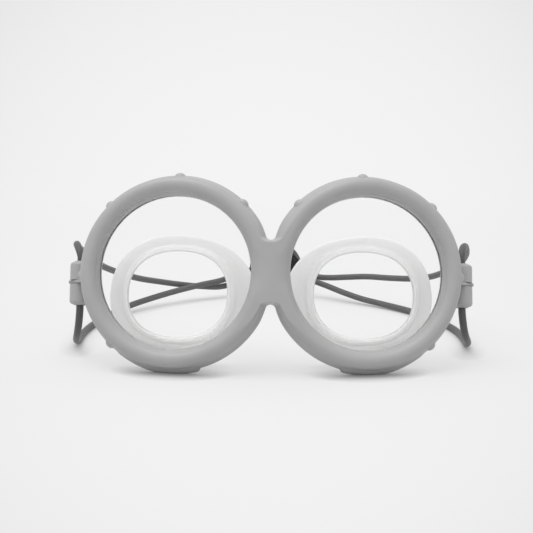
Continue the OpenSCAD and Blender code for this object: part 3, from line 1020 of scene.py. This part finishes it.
@dataclass
class RearRing(EyePart):
    """The ring behind a bezel, with its rest pad and the lug that carries the strap guide.

    Steps of the wall are depths behind the bezel, those of the joint with how far the wall
    is drawn in there.
    """

    edge: float = 0.45
    edge_turns: tuple[float, ...] = (30.0, 60.0, 90.0)
    joint: Points = ((0.0, 0.14), (0.02, 0.1), (0.06, 0.04), (0.12, 0.0))
    wall: tuple[float, ...] = (0.22, 0.38, 0.6, 0.9, 1.25, 1.65, 2.0, 2.35)
    seat_r: float = 29.9
    lip_r: float = 27.55
    lip_ease: float = 0.3
    middle_gap: float = 0.03
    pad_nose_deg: float = 15.0
    pad_step_deg: float = 0.8
    pad_temple_deg: float = 38.0
    pad_end_deg: float = 4.0
    pad_full_deg: float = 8.0
    pad_proud: float = 0.9
    pad_roll: float = 2.5
    pad_roll_power: float = 1.6
    pad_thin: float = 0.3
    pad_back: float = 0.5
    pad_back_drop: float = 0.55
    pad_blend: float = 0.3
    guide: tuple[float, float, float] = GUIDE_AT
    lug_z: float = -2.8
    lug_t: float = 1.2
    lug_ease: float = 0.3
    lug_chamfer: float = 0.09
    lug_root: float = 3.4
    lug_front: float = 0.5
    boss_r: float = 3.3
    boss_deg: tuple[float, float] = (-20.0, 160.0)
    boss_steps: int = 61
    nose_r: float = 4.31
    nose_half_w: float = 0.8
    nose_blend: tuple[float, float] = (0.8, 1.35)

    def pad(self, depth: float) -> np.ndarray:
        """How far the rest pad stands out, for each column at a depth.

        It starts with a short step on the nose side of the ring's lowest point, and thins out
        towards the lower temple stud. It rolls out of the joint with the bezel: 1 - (1 - t)^p,
        where t is the share of the roll's depth and p its power.

        Args:
            depth: Depth behind the front crease.

        Returns:
            One distance a column.
        """
        bearing = self.plan.bearing()
        turn = np.degrees(np.arctan2(np.cos(bearing), -np.sin(bearing)))
        temple = self.pad_temple_deg
        ends = smooth_step(-self.pad_nose_deg, self.pad_step_deg - self.pad_nose_deg, turn)
        ends *= 1.0 - smooth_step(temple - self.pad_end_deg, temple, turn)
        ends *= 1.0 - (1.0 - self.pad_thin) * smooth_step(self.pad_full_deg, temple, turn)
        rolled = min(max((depth - self.plan.bezel_back) / self.pad_roll, 0.0), 1.0)
        rise = 1.0 - (1.0 - rolled) ** self.pad_roll_power
        back = float(smooth_step(self.plan.back - self.pad_back, self.plan.back, depth))
        full = self.pad_proud + self.plan.full_flare * (1.0 - depth / self.plan.back)
        return ends * rise * (1.0 - self.pad_back_drop * back) * full

    def outer(self, depth: float, inset: float = 0.0) -> np.ndarray:
        """The outer outline at a depth, pad and all, drawn in by inset.

        Args:
            depth: Depth behind the front crease.
            inset: Distance that it is drawn in by, which the pad covers in front of the edge.

        Returns:
            One plan point a column.
        """
        shoulder = self.plan.back - self.edge
        covered = smooth_step(0.0, self.pad_blend, self.pad(shoulder))[:, None]
        groove = inset if depth > shoulder else inset * (1.0 - covered)
        outline = self.plan.outline(self.plan.draft * depth)
        return outline + self.plan.circle(1.0) * (self.pad(depth)[:, None] - groove)

    def ring_surface(self) -> Surface:
        """The ring as one closed profile carried round its outline.

        Returns:
            The surface, in the row frame.
        """
        steps = [*self.joint, *((step, 0.0) for step in self.wall)]
        sides = [(self.plan.bezel_back + step, inset) for step, inset in steps]
        for turn in self.edge_turns:
            cosine, sine = cos_sin(turn)
            y = self.plan.back - self.edge * (1.0 - sine)
            sides.append((y, self.edge * (1.0 - cosine)))
        circles = (
            (self.lip_r + self.lip_ease, self.plan.back),
            (self.lip_r, self.plan.back - self.lip_ease / 2),
            (self.lip_r, self.plan.seat_back),
            (self.seat_r, self.plan.seat_back),
        )
        rows = [(self.plan.circle(self.seat_r), self.plan.bezel_back)]
        rows += [(self.outer(y, inset), y) for y, inset in sides]
        rows += [(self.plan.circle(radius), y) for radius, y in circles]
        plan = np.array([row for row, _ in rows])
        depth = np.repeat(np.array([y for _, y in rows])[:, None], plan.shape[1], axis=1)
        plan[..., 0] = np.maximum(plan[..., 0], -self.plan.half_pitch + self.middle_gap)
        points = self.stance.from_plan(self.side, plan, depth)
        points[..., 2] = np.maximum(points[..., 2], 0.0)
        return Surface(points, close_rows=True, close_columns=True)

    def lug_outline(self) -> np.ndarray:
        """Outline of the lug in x and y: an arm that widens into a round boss with a small nose.

        Returns:
            One point a row, anticlockwise.
        """
        turn = np.radians(np.linspace(*self.boss_deg, self.boss_steps))
        half_turn = math.asin(self.nose_half_w / self.boss_r)
        full, gone = (half_turn * share for share in self.nose_blend)
        nose = 1.0 - smooth_step(full, gone, np.abs(turn))
        boss = polar(self.boss_r + (self.nose_r - self.boss_r) * nose, turn) + self.guide[:2]
        front = self.plan.bezel_back + self.lug_front
        root_x = self.seat_r + self.lug_root
        wall_x = self.plan.crease_r + self.plan.draft * front
        arm, back = [[root_x, front], [wall_x, front]], [[root_x, self.plan.back]]
        return np.concatenate([arm, boss, back])

    def lug_surface(self) -> Surface:
        """The lug as its outline carried through its thickness, with eased edges.

        Returns:
            The surface, in the row frame.
        """
        outline = self.lug_outline()
        ahead = np.roll(outline, -1, axis=0) - np.roll(outline, 1, axis=0)
        outward = np.stack([ahead[:, 1], -ahead[:, 0]], -1)
        outward /= np.linalg.norm(outward, axis=1)[:, None]
        half, ease, middle = self.lug_t / 2, self.lug_ease, self.lug_chamfer
        lower = [(ease, -half), (middle, middle - half), (0.0, ease - half)]
        rows = []
        for inset, z in lower + [(inset, -z) for inset, z in reversed(lower)]:
            level = np.full(len(outline), self.lug_z + z)
            rows.append(np.column_stack([outline - outward * inset, level]))
        points = self.stance.from_eye(self.side, np.array(rows))
        return Surface(points, close_columns=True, cap_rows=True)

    def build(self) -> Piece:
        """Builds the ring and its lug as one piece and dresses it.

        Returns:
            The rear ring.
        """
        word = self.side.word
        surfaces = [self.ring_surface(), self.lug_surface()]
        piece = piece_from(f"rear_ring_moulding_{word}", surfaces)
        return dress(piece, f"rear_ring_{word}", self.finishes.frame)


@dataclass
class RimStuds(EyePart):
    """Domed pegs round a ring, each a revolved dome with a swept skirt."""

    angles: tuple[float, ...] = (-1.5, 45.0, 92.0, 135.0, 312.5)
    depth: float = 3.6
    head_r: float = 2.3
    head_centre: float = 33.65
    head_deg: float = 58.0
    head_steps: int = 12
    skirt_r: float = 2.75
    skirt_at: float = 34.4
    skirt_steps: int = 6
    skirt_powers: tuple[float, float] = (1.6, 1.5)
    foot_at: float = 33.4
    columns: int = 36

    def dome(self) -> np.ndarray:
        """The stud's half profile: a cap's arc, a skirt that sweeps out and a straight foot.

        Over its share s, the skirt spreads as s^p and falls as 1 - (1 - s)^q.

        Returns:
            Points (distance, place along the ring's radius), from the tip down to the foot.
        """
        arc = polar(self.head_r, np.radians(np.linspace(0.0, self.head_deg, self.head_steps)))
        cap = np.stack([arc[:, 1], self.head_centre + arc[:, 0]], -1)
        wide, tall = cap[-1]
        share = np.linspace(0.0, 1.0, self.skirt_steps)[1:]
        spread, fall = self.skirt_powers
        skirt_r = wide + (self.skirt_r - wide) * share**spread
        skirt_at = tall + (self.skirt_at - tall) * (1.0 - (1.0 - share) ** fall)
        foot = [[self.skirt_r, self.foot_at]]
        return np.concatenate([cap, np.stack([skirt_r, skirt_at], -1), foot])

    def build(self) -> Piece:
        """Builds all of a ring's studs as one piece and dresses it.

        Returns:
            The studs.
        """
        profile = self.dome()[:, :, None, None]
        turn = turns(self.columns)[:, None]
        back = np.array([0.0, 1.0, 0.0])
        surfaces = []
        for angle in self.angles:
            c, s = cos_sin(angle)
            out, across = np.array([c, 0.0, s]), np.array([-s, 0.0, c])
            spread = np.cos(turn) * across + np.sin(turn) * back
            points = profile[:, 1] * out + profile[:, 0] * spread + self.depth * back
            points = self.stance.from_eye(self.side, points)
            surfaces.append(Surface(points, close_columns=True, cap_rows=True))
        word = self.side.word
        piece = piece_from(f"rim_stud_domes_{word}", surfaces)
        return dress(piece, f"rim_studs_{word}", self.finishes.studs)


# Lenses, gaskets and strap guides


@dataclass
class Gasket(EyePart):
    """Soft face gasket: a bonded foot, a shoulder, a flared wall and a rolled flange.

    The section runs along the outer face in steps outwards from the foot's edge, over the
    flange in steps inwards from its edge, and back along the inner face in steps outwards
    from the window's edge. Each step ends with its share of the depth.
    """

    window: tuple[float, float] = (18.0, 15.3)
    foot_w: float = 1.2
    flange: tuple[float, float] = (27.5, 22.1)
    depth: float = 10.4
    skew: float = 1.6
    drop: float = 7.7
    nose: float = 0.7
    tilt_deg: float = 9.5
    flange_out: float = 0.4
    power: float = 2.25
    columns: int = 144
    section_steps: int = 84
    outer_steps: Points = (
        (-0.15, -0.15, 0.0), (0.0, 0.0, 0.025), (0.08, 0.08, 0.055), (0.3, 0.3, 0.072),
        (0.9, 0.9, 0.082), (1.4, 1.3, 0.105), (1.6, 1.45, 0.15), (1.75, 1.5, 0.25),
        (2.3, 1.6, 0.45),
    )
    flange_steps: Points = (
        (3.9, 0.66), (3.05, 0.74), (2.2, 0.79), (1.2, 0.825), (0.4, 0.86), (0.05, 0.90),
        (0.05, 0.95), (0.4, 0.985), (0.9, 1.0), (2.2, 1.0), (3.0, 0.975), (3.7, 0.93),
        (4.5, 0.86), (5.2, 0.74),
    )
    inner_steps: Points = (
        (2.3, 1.45, 0.56), (1.5, 1.1, 0.36), (0.55, 0.55, 0.22), (0.12, 0.12, 0.13),
        (0.0, 0.0, 0.09), (0.0, 0.0, 0.03), (0.2, 0.2, 0.0),
    )

    def profile(self) -> np.ndarray:
        """The section as (half width, half height, share of the depth), from the foot round.

        Returns:
            Rows along the outer face, over the flange and back along the inner face.
        """
        foot = np.array([*(half + self.foot_w for half in self.window), 0.0])
        inwards, share = np.array(self.flange_steps).T
        rim = np.stack([self.flange[0] - inwards, self.flange[1] - inwards, share], -1)
        window = np.array([*self.window, 0.0])
        rows = np.concatenate([foot + self.outer_steps, rim, window + self.inner_steps])
        rows[:, 2] *= self.depth
        smooth = spline(rows, self.section_steps)
        smooth[:, 2] /= self.depth
        return smooth

    def build(self) -> Piece:
        """Builds the gasket and dresses it.

        Each row is a rounded oval: |cos| and |sin| of the turn to the power 2 / n, where n is
        a little over 2. The depth is skewed, so that the temple side is deeper than the nose,
        and the rows turn and move outwards with their depth.

        Returns:
            The gasket.
        """
        rows = self.profile()
        turn = turns(self.columns)
        circle = polar(1.0, turn)
        oval = np.sign(circle) * np.abs(circle) ** (2.0 / self.power)
        depth = self.depth + self.skew * circle[:, 0]
        share = rows[:, 2, None]
        tilt = np.radians(self.tilt_deg) * share
        wide, high = rows[:, 0, None] * oval[:, 0], rows[:, 1, None] * oval[:, 1]
        points = np.stack(
            [
                wide * np.cos(tilt) - high * np.sin(tilt) - self.nose + share * self.flange_out,
                self.plan.lens_back + share * depth,
                wide * np.sin(tilt) + high * np.cos(tilt) - self.drop,
            ],
            -1,
        )
        v, u = np.meshgrid(np.linspace(0.0, 1.0, len(rows)), turn / (2 * math.pi), indexing="ij")
        points = self.stance.from_eye(self.side, points)
        surface = Surface(points, close_rows=True, close_columns=True, uv=np.stack([u, v], -1))
        word = self.side.word
        piece = piece_from(f"face_gasket_{word}", [surface])
        return dress(piece, f"gasket_{word}", self.finishes.gasket)


@dataclass
class LensSet(EyePart):
    """A flat lens with eased rims, and the flat seal behind it, whose soft lip shows."""

    lens_edge: float = 0.3
    seal_r: float = 29.8
    seal_lip_r: float = 27.45
    seal_gap: float = 0.01
    lip_steps: int = 9
    columns: int = 192

    def seal_surface(self) -> Surface:
        """The seal as a flat profile with a rounded lip, turned round the eye's axis.

        Returns:
            The surface, in the row frame.
        """
        front, back = self.plan.lens_back + self.seal_gap, self.plan.seat_back - self.seal_gap
        half, middle = (back - front) / 2, (back + front) / 2
        arc = polar(half, np.radians(np.linspace(-90.0, 90.0, self.lip_steps)))
        lip = np.stack([self.seal_lip_r + half - arc[:, 0], middle + arc[:, 1]], -1)
        rim = [[self.seal_r, back], [self.seal_r, front]]
        radius, depth = np.concatenate([rim, lip]).T[:, :, None]
        ring = polar(radius, turns(self.columns))
        points = np.stack([ring[..., 0], np.broadcast_to(depth, ring.shape[:2]), ring[..., 1]], -1)
        points = self.stance.from_eye(self.side, points)
        return Surface(points, close_rows=True, close_columns=True)

    def build(self) -> None:
        """Dresses the lens, and builds its seal and dresses it."""
        word = self.side.word
        lens = eased_copy(f"lens_{word}", f"lens_pane_{word}", self.lens_edge)
        dress(lens, f"lens_{word}", self.finishes.lens)
        seal = piece_from(f"lens_seal_ring_{word}", [self.seal_surface()])
        dress(seal, f"lens_seal_{word}", self.finishes.seal)


@dataclass
class StrapGuide(EyePart):
    """The swivelling barrel at a temple, and the hollow pivot that it turns on."""

    edge: float = 0.35
    sleeve_edge: float = 0.15

    def build(self) -> None:
        """Dresses the guide, which rides on its own body, and its sleeve."""
        word = self.side.word
        node = f"strap_guide_{word}"
        guide = eased_copy(node, f"strap_guide_barrel_{word}", self.edge)
        dress(guide, node, self.finishes.frame, node)
        node = f"guide_sleeve_{word}"
        sleeve = eased_copy(node, f"guide_pivot_{word}", self.sleeve_edge, segments=2)
        dress(sleeve, node, self.finishes.studs)


# Cord and lock


@dataclass(frozen=True)
class CordLock:
    """Sizes of the cord lock that the cord's routes end at."""

    x: float = 1.8
    hole_z: float = 10.3
    half: float = 13.5
    hole_y: float = 131.0
    hole_offset: float = 1.9
    body_edge: float = 0.5
    button_edge: float = 0.35
    coil_edge: float = 0.05
    press: float = 3.5

    def build(self, finishes: Finishes) -> list[Piece]:
        """Dresses the lock's body, button and spring.

        Args:
            finishes: The goggles' materials.

        Returns:
            The three pieces.
        """
        body = eased_copy("lock_body", "lock_barrel", self.body_edge)
        dress(body, "lock_body", finishes.lock)
        button = eased_copy("lock_button", "lock_plunger", self.button_edge)
        dress(button, "lock_button", finishes.lock, "lock_button")
        spring = eased_copy("lock_spring", "lock_coil", self.coil_edge, segments=1)
        dress(spring, "lock_spring", finishes.spring)
        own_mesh(spring)
        return [body, button, spring]


@dataclass(frozen=True)
class Route:
    """A free stretch of the cord, from a sleeve's end to a hole in the lock.

    The end is 1 at the sleeve's top and -1 at its foot, and the level is 1 for the lock's
    upper hole and -1 for the lower one. The points between are listed, as in the part's
    source, before the goggles' shift over the origin.
    """

    node: str
    side: Side
    end: float
    level: float
    points: Points


UPPER_LEFT = Route("cord_upper_left", Side.LEFT, 1.0, -1.0, (
    (-70.7, 21.9, 39.6), (-71.9, 24.9, 40.9), (-73.1, 29.8, 40.8), (-73.7, 36.5, 38.4),
    (-73.7, 44, 35.7), (-73.2, 53.5, 31.7), (-72, 63, 28), (-70.2, 72, 24.4),
    (-67.5, 81, 21), (-63.7, 90, 17.5), (-58.4, 99.5, 14), (-51.6, 108.6, 11),
    (-43, 116.4, 8.2), (-33, 122.2, 6.1), (-25, 126, 5.2), (-19.5, 129, 5.9),
))
UPPER_RIGHT = Route("cord_upper_right", Side.RIGHT, 1.0, 1.0, (
    (70.3, 21.9, 39.6), (71.1, 24.9, 41), (72.7, 29.8, 40.9), (74.4, 36.5, 38.4),
    (75.8, 44.5, 35.3), (76.3, 53.5, 31.6), (75.7, 63, 27.8), (74.4, 72, 24.2),
    (72.2, 81, 20.8), (68.8, 90, 17.6), (62.4, 100, 14.8), (53.4, 109.5, 13.2),
    (43.5, 116.6, 12.4), (34.5, 121.6, 11.1), (27.5, 125.8, 10), (21.9, 129.2, 9.8),
))
LOWER_LEFT = Route("cord_lower_left", Side.LEFT, -1.0, 1.0, (
    (-70.5, 15.3, 13.8), (-71.6, 18, 9.6), (-73, 23.3, 6.2), (-74.3, 30, 3.6),
    (-75.2, 38.5, 1.6), (-75.5, 47.5, 1.4), (-75, 57.5, 1.4), (-73.3, 68, 1.4),
    (-69.6, 80, 1.9), (-62.8, 93, 3.1), (-53.1, 104.5, 4.5), (-42.5, 112.8, 6.2),
    (-32.5, 119.2, 7.6), (-24.5, 124.6, 8.4), (-19, 128.6, 9.8),
))
LOWER_RIGHT = Route("cord_lower_right", Side.RIGHT, -1.0, -1.0, (
    (70.7, 15.3, 13.8), (72, 18, 9.6), (73.8, 23.3, 6.2), (75.2, 30, 3.6),
    (76.2, 38.5, 1.6), (76.5, 47.5, 1.4), (75.8, 57.5, 1.4), (73.3, 68.5, 1.4),
    (68.5, 81, 1.4), (60.8, 94, 1.5), (51.1, 105, 1.8), (41.5, 113.2, 2.6),
    (33, 119.2, 4.4), (26, 124.2, 6.3), (21, 127.8, 7.5),
))


@dataclass
class Cord(SubAssembly):
    """The elastic cord: four free stretches, and the runs inside the sleeves and the lock."""

    lock: CordLock
    diameter: float = 2.7
    guide: tuple[float, float, float] = GUIDE_AT
    sleeve_half: float = 8.1
    end_run: float = 1.5
    ring_gap: float = 0.5
    sides: int = 28
    measure_steps: int = 400
    path_steps: int = 40
    sleeve_rings: int = 12
    lock_rings: int = 16

    def sleeve_end(self, side: Side, end: float, reach: float = 0.0) -> np.ndarray:
        """A sleeve's end, or a point past it on its axis.

        Args:
            side: The sleeve's side.
            end: 1 for its top, -1 for its foot.
            reach: How far past the end the point lies.

        Returns:
            The point in the row frame.
        """
        x, y, z = self.guide
        point = np.array([x, y, z + end * (self.sleeve_half + reach)])
        return self.stance.from_eye(side, point)

    def lock_hole(self, side: Side, level: float, reach: float = 0.0) -> np.ndarray:
        """The mouth of one of the lock's holes, or a point outside it.

        Args:
            side: The lock's side.
            level: 1 for the upper hole, -1 for the lower one.
            reach: How far outside the mouth the point lies.

        Returns:
            The point in the row frame.
        """
        x = self.lock.x + side.value * (self.lock.half + reach)
        y = self.lock.hole_y + self.stance.shift_y
        return np.array([x, y, self.lock.hole_z + level * self.lock.hole_offset])

    @staticmethod
    def carried(ahead: np.ndarray) -> np.ndarray:
        """One sideways direction a ring, carried along the path without twist.

        It starts from x, or from z where the path sets out close to x.

        Args:
            ahead: Unit direction of the path at each ring.

        Returns:
            Unit directions square to the path.
        """
        side = np.empty_like(ahead)
        last = np.array([0.0, 0.0, 1.0] if abs(ahead[0, 0]) >= NEAR_ALONG else [1.0, 0.0, 0.0])
        for i, direction in enumerate(ahead):
            last = last - (last @ direction) * direction
            last /= np.linalg.norm(last)
            side[i] = last
        return side

    def tube(self, path: np.ndarray, samples: int) -> Surface:
        """A round tube along a path, with its frame carried without twist.

        Each ring is the circle c + r (cos t u + sin t w), where u is the last ring's u with
        its part along the path taken out.

        Args:
            path: Points of the centre line.
            samples: Number of rings.

        Returns:
            The tube, closed at both ends, with u turns and v metres as its UV.
        """
        line = spline(path, samples)
        ahead = np.gradient(line, axis=0)
        ahead /= np.linalg.norm(ahead, axis=1)[:, None]
        side = self.carried(ahead)
        over = np.cross(ahead, side)
        turn = turns(self.sides)[:, None]
        circle = np.cos(turn) * side[:, None] + np.sin(turn) * over[:, None]
        points = line[:, None] + self.diameter / 2 * circle
        v, u = np.meshgrid(run_along(line) * MM, np.arange(self.sides) / self.sides, indexing="ij")
        return Surface(points, close_columns=True, uv=np.stack([u, v], -1), cap_rows=True)

    def straight(self, first: np.ndarray, last: np.ndarray, samples: int) -> Surface:
        """A straight tube between two points."""
        return self.tube(np.array([first, (first + last) / 2, last]), samples)

    def stretch(self, route: Route, with_pieces: list[Piece]) -> None:
        """Args:
            route: The stretch.
            with_pieces: Pieces that belong to it; not used.
        """
        side, end, level = route.side, route.end, route.level
        path = np.vstack(
            [
                self.sleeve_end(side, end),
                self.sleeve_end(side, end, self.end_run),
                np.array(route.points) + np.array([0.0, self.stance.shift_y, 0.0]),
                self.lock_hole(side, level, self.end_run),
                self.lock_hole(side, level),
            ]
        )
        length = float(run_along(spline(path, self.measure_steps))[-1])
        tube = self.tube(path, int(length / self.ring_gap))
        piece = piece_from(f"{route.node}_braid", [tube], merge=0.0)
        dress(piece, route.node, self.finishes.cord)
        (spline(path, self.path_steps) * MM).tolist()
        log.info("%s is %.1f mm long", route.node, length)

    def core(self, side: Side) -> Piece:
        """Builds the run inside a sleeve and dresses it.

        Args:
            side: The sleeve's side.

        Returns:
            The piece.
        """
        foot, top = self.sleeve_end(side, -1.0), self.sleeve_end(side, 1.0)
        tube = self.straight(foot, top, self.sleeve_rings)
        piece = piece_from(f"cord_in_sleeve_{side.word}", [tube], merge=0.0)
        return dress(piece, f"cord_core_{side.word}", self.finishes.cord)

    def through_lock(self) -> Piece:
        """Builds the two runs inside the lock and dresses them.

        Returns:
            The piece.
        """
        runs = []
        for level in (-1.0, 1.0):
            left, right = (self.lock_hole(side, level) for side in Side)
            runs.append(self.straight(left, right, self.lock_rings))
        piece = piece_from("cord_in_lock", runs, merge=0.0)
        return dress(piece, "cord_through_lock", self.finishes.cord)

    def build(self) -> None:
        """Builds the lock and every run of the cord."""
        lock_pieces = self.lock.build(self.finishes)
        left, right = (self.core(side) for side in Side)
        inside = self.through_lock()
        self.stretch(UPPER_LEFT, [left])
        self.stretch(UPPER_RIGHT, [right])
        self.stretch(LOWER_LEFT, [inside, *lock_pieces])
        self.stretch(LOWER_RIGHT, [])


# Studio


@dataclass(frozen=True)
class Studio:
    """The pale floor that the goggles stand on, the soft light and the camera."""

    camera_mm: tuple[float, float, float] = (1.92, -365.42, 103.92)
    pitch_deg: float = 10.42
    yaw_deg: float = 0.54
    roll_deg: float = 0.3
    focal_mm: float = 70.38
    sensor_mm: float = 36.0
    clip_m: tuple[float, float] = (0.01, 100.0)
    white: float = 0.905
    fall_off: float = 0.040
    fall_power: float = 1.5
    least: float = 0.88
    floor_grey: float = 0.67
    floor_tones: Points = ((0.3, 0.995), (0.7, 1.0))
    floor_roughness: float = 0.8
    paper: Noise = Noise(3.0)
    half_width_m: float = 40.0
    fine_share: float = 0.02
    # Least share of the level white near the goggles: painted light that lifts the floor's shadow
    painted_lift_share: float = 0.62
    # Reach and power of the painted contact shadow, from ambient occlusion
    contact_m: float = 0.007
    contact: float = 0.9
    near_m: float = 0.22
    far_m: float = 0.60
    horizon: float = 0.50
    backdrop: float = 0.75
    zenith: float = 1.55
    zenith_power: float = 3.0
    lamp_size_m: tuple[float, float] = (1.6, 1.4)
    lamp_watts: float = 20.0
    lamp_m: tuple[float, float, float] = (-0.55, -0.3, 2.1)
    lamp_turn_deg: tuple[float, float, float] = (-8.0, -14.7, 0.0)

    def camera(self) -> None:
        """Sets the camera at the photograph's place."""
        data = bpy.data.cameras.new("Camera")
        data.lens = self.focal_mm
        data.sensor_width = self.sensor_mm
        data.clip_start, data.clip_end = self.clip_m
        camera = bpy.data.objects.new("Camera", data)
        camera.location = tuple(value * MM for value in self.camera_mm)
        aim = Euler((math.radians(90.0 - self.pitch_deg), 0.0, math.radians(self.yaw_deg)))
        roll = Matrix.Rotation(math.radians(self.roll_deg), 3, "Z")
        camera.rotation_euler = (aim.to_matrix() @ roll).to_euler()
        bpy.context.scene.collection.objects.link(camera)
        bpy.context.scene.camera = camera

    def dimmed_white(self, bench: NodeBench, ray: Socket) -> Socket:
        """The background's white, which falls off a little towards the picture's corners.

        It is white (1 - k q^p), where q is the squared tangent of the angle to the picture's
        axis as a share of that at the middle of an edge, k is the fall-off there and p its
        power. Outside the picture it stays at its least.

        Args:
            bench: The material or world.
            ray: Vector from the camera's place.

        Returns:
            The strength's socket.
        """
        level, down = cos_sin(self.pitch_deg)
        ahead, left = cos_sin(self.yaw_deg)
        along = bench.dot(ray, (-left * level, ahead * level, -down))
        squared = bench.math("DIVIDE", bench.dot(ray, ray), bench.math("MULTIPLY", along, along))
        edge = (self.sensor_mm / 2 / self.focal_mm) ** 2
        share = bench.math("DIVIDE", bench.math("SUBTRACT", squared, 1.0), edge)
        rise = bench.math("POWER", share, self.fall_power)
        loss = bench.math("MULTIPLY", rise, self.fall_off * self.white)
        dimmed = bench.math("SUBTRACT", self.white, loss)
        return bench.math("MAXIMUM", dimmed, self.least * self.white)

    def floor(self) -> None:
        """Lays the pale floor: lit near the goggles, and level white further away.

        Near the goggles a share of the level white is mixed in, painted light that lifts the lit
        floor's shadow, and ambient occlusion darkens it where something comes close to the floor:
        a painted contact shadow.
        """
        x = np.array([-1.0, -self.fine_share, self.fine_share, 1.0]) * self.half_width_m / MM
        grid = np.stack([*np.meshgrid(x, x, indexing="ij"), np.zeros((len(x), len(x)))], -1)
        sheet = piece_from("pale_floor", [Surface(grid[::-1])], merge=0.0)
        bench = NodeBench("pale_paper")
        shader = bench.add(
            "ShaderNodeBsdfPrincipled",
            Base_Color=bench.ramp(bench.noise(self.paper), self.floor_grey, self.floor_tones),
            Roughness=self.floor_roughness,
            Specular_IOR_Level=0.0,
        )
        place, eye = bench.place(), tuple(value * MM for value in self.camera_mm)
        ray = bench.add("ShaderNodeVectorMath", operation="SUBTRACT", _0=place, _1=eye)
        strength = self.dimmed_white(bench, ray.outputs["Vector"])
        # Ambient occlusion darkens the level white where something comes close: a painted contact
        # shadow
        open_share = bench.add("ShaderNodeAmbientOcclusion", Distance=self.contact_m).outputs["AO"]
        painted_contact_shadow = bench.math("POWER", open_share, self.contact)
        level = bench.add("ShaderNodeEmission", Strength=bench.math("MULTIPLY", strength, painted_contact_shadow))
        # Near the goggles only part of the level white is mixed in, painted light over the lit
        # floor's shadow
        from_middle = bench.add("ShaderNodeVectorMath", operation="LENGTH", _0=place)
        away = bench.add(
            "ShaderNodeMapRange", Value=from_middle.outputs["Value"], To_Min=self.painted_lift_share,
            interpolation_type="SMOOTHSTEP", From_Min=self.near_m, From_Max=self.far_m,
        )
        share = bench.math("MULTIPLY", bench.seen(), away.outputs[0])
        mix = bench.add("ShaderNodeMixShader", _0=share, _1=shader.outputs[0], _2=level.outputs[0])
        sheet.data.materials.append(bench.finish(mix))

    def light(self) -> None:
        """Lights the scene like a white tent, brighter behind and overhead.

        The overhead part grows with a power of the height, so it stays out of the low sky.
        """
        bench = NodeBench("Tent", world=True)
        ray = bench.add("ShaderNodeTexCoord").outputs["Generated"]
        split = bench.add("ShaderNodeSeparateXYZ", Vector=ray)
        height = bench.math("MAXIMUM", split.outputs["Z"], 0.0)
        high = bench.math("POWER", height, self.zenith_power)
        above = bench.math("MULTIPLY", high, self.zenith - self.horizon)
        behind = bench.math("MAXIMUM", split.outputs["Y"], 0.0)
        wall = bench.math("MULTIPLY", behind, self.backdrop - self.horizon)
        sky = bench.math("ADD", bench.math("ADD", above, wall), self.horizon)
        white = self.dimmed_white(bench, ray)
        strength = bench.add("ShaderNodeMix", _0=bench.seen(), _2=sky, _3=white).outputs[0]
        background = bench.add("ShaderNodeBackground", Strength=strength, _0=(1.0, 1.0, 1.0, 1.0))
        bpy.context.scene.world = bench.finish(background)

    def lamps(self) -> None:
        """Hangs a broad soft box over the goggles, a little to the left and in front."""
        data = bpy.data.lights.new("soft_box", "AREA")
        data.shape = "RECTANGLE"
        data.size, data.size_y = self.lamp_size_m
        data.energy = self.lamp_watts
        box = bpy.data.objects.new("soft_box", data)
        box.location = self.lamp_m
        box.rotation_euler = tuple(math.radians(turn) for turn in self.lamp_turn_deg)
        bpy.context.scene.collection.objects.link(box)

    def build(self) -> None:
        """Builds the whole studio."""
        self.camera()
        self.floor()
        self.light()
        self.lamps()
        bpy.context.scene.view_settings.view_transform = "Standard"


def main() -> None:
    """Builds the goggles, piece by piece, and the studio round them."""
    logging.basicConfig(level=logging.INFO, format="%(name)s: %(message)s")
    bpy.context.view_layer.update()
    shared = Stance(), RingPlan(), Finishes()
    Studio().build()
    Cord(*shared, CordLock()).build()
    FrontFrame(*shared).build()
    for side in Side:
        for part in (RearRing, RimStuds, LensSet, Gasket, StrapGuide):
            part(*shared, side).build()


if __name__ == "__main__":
    main()
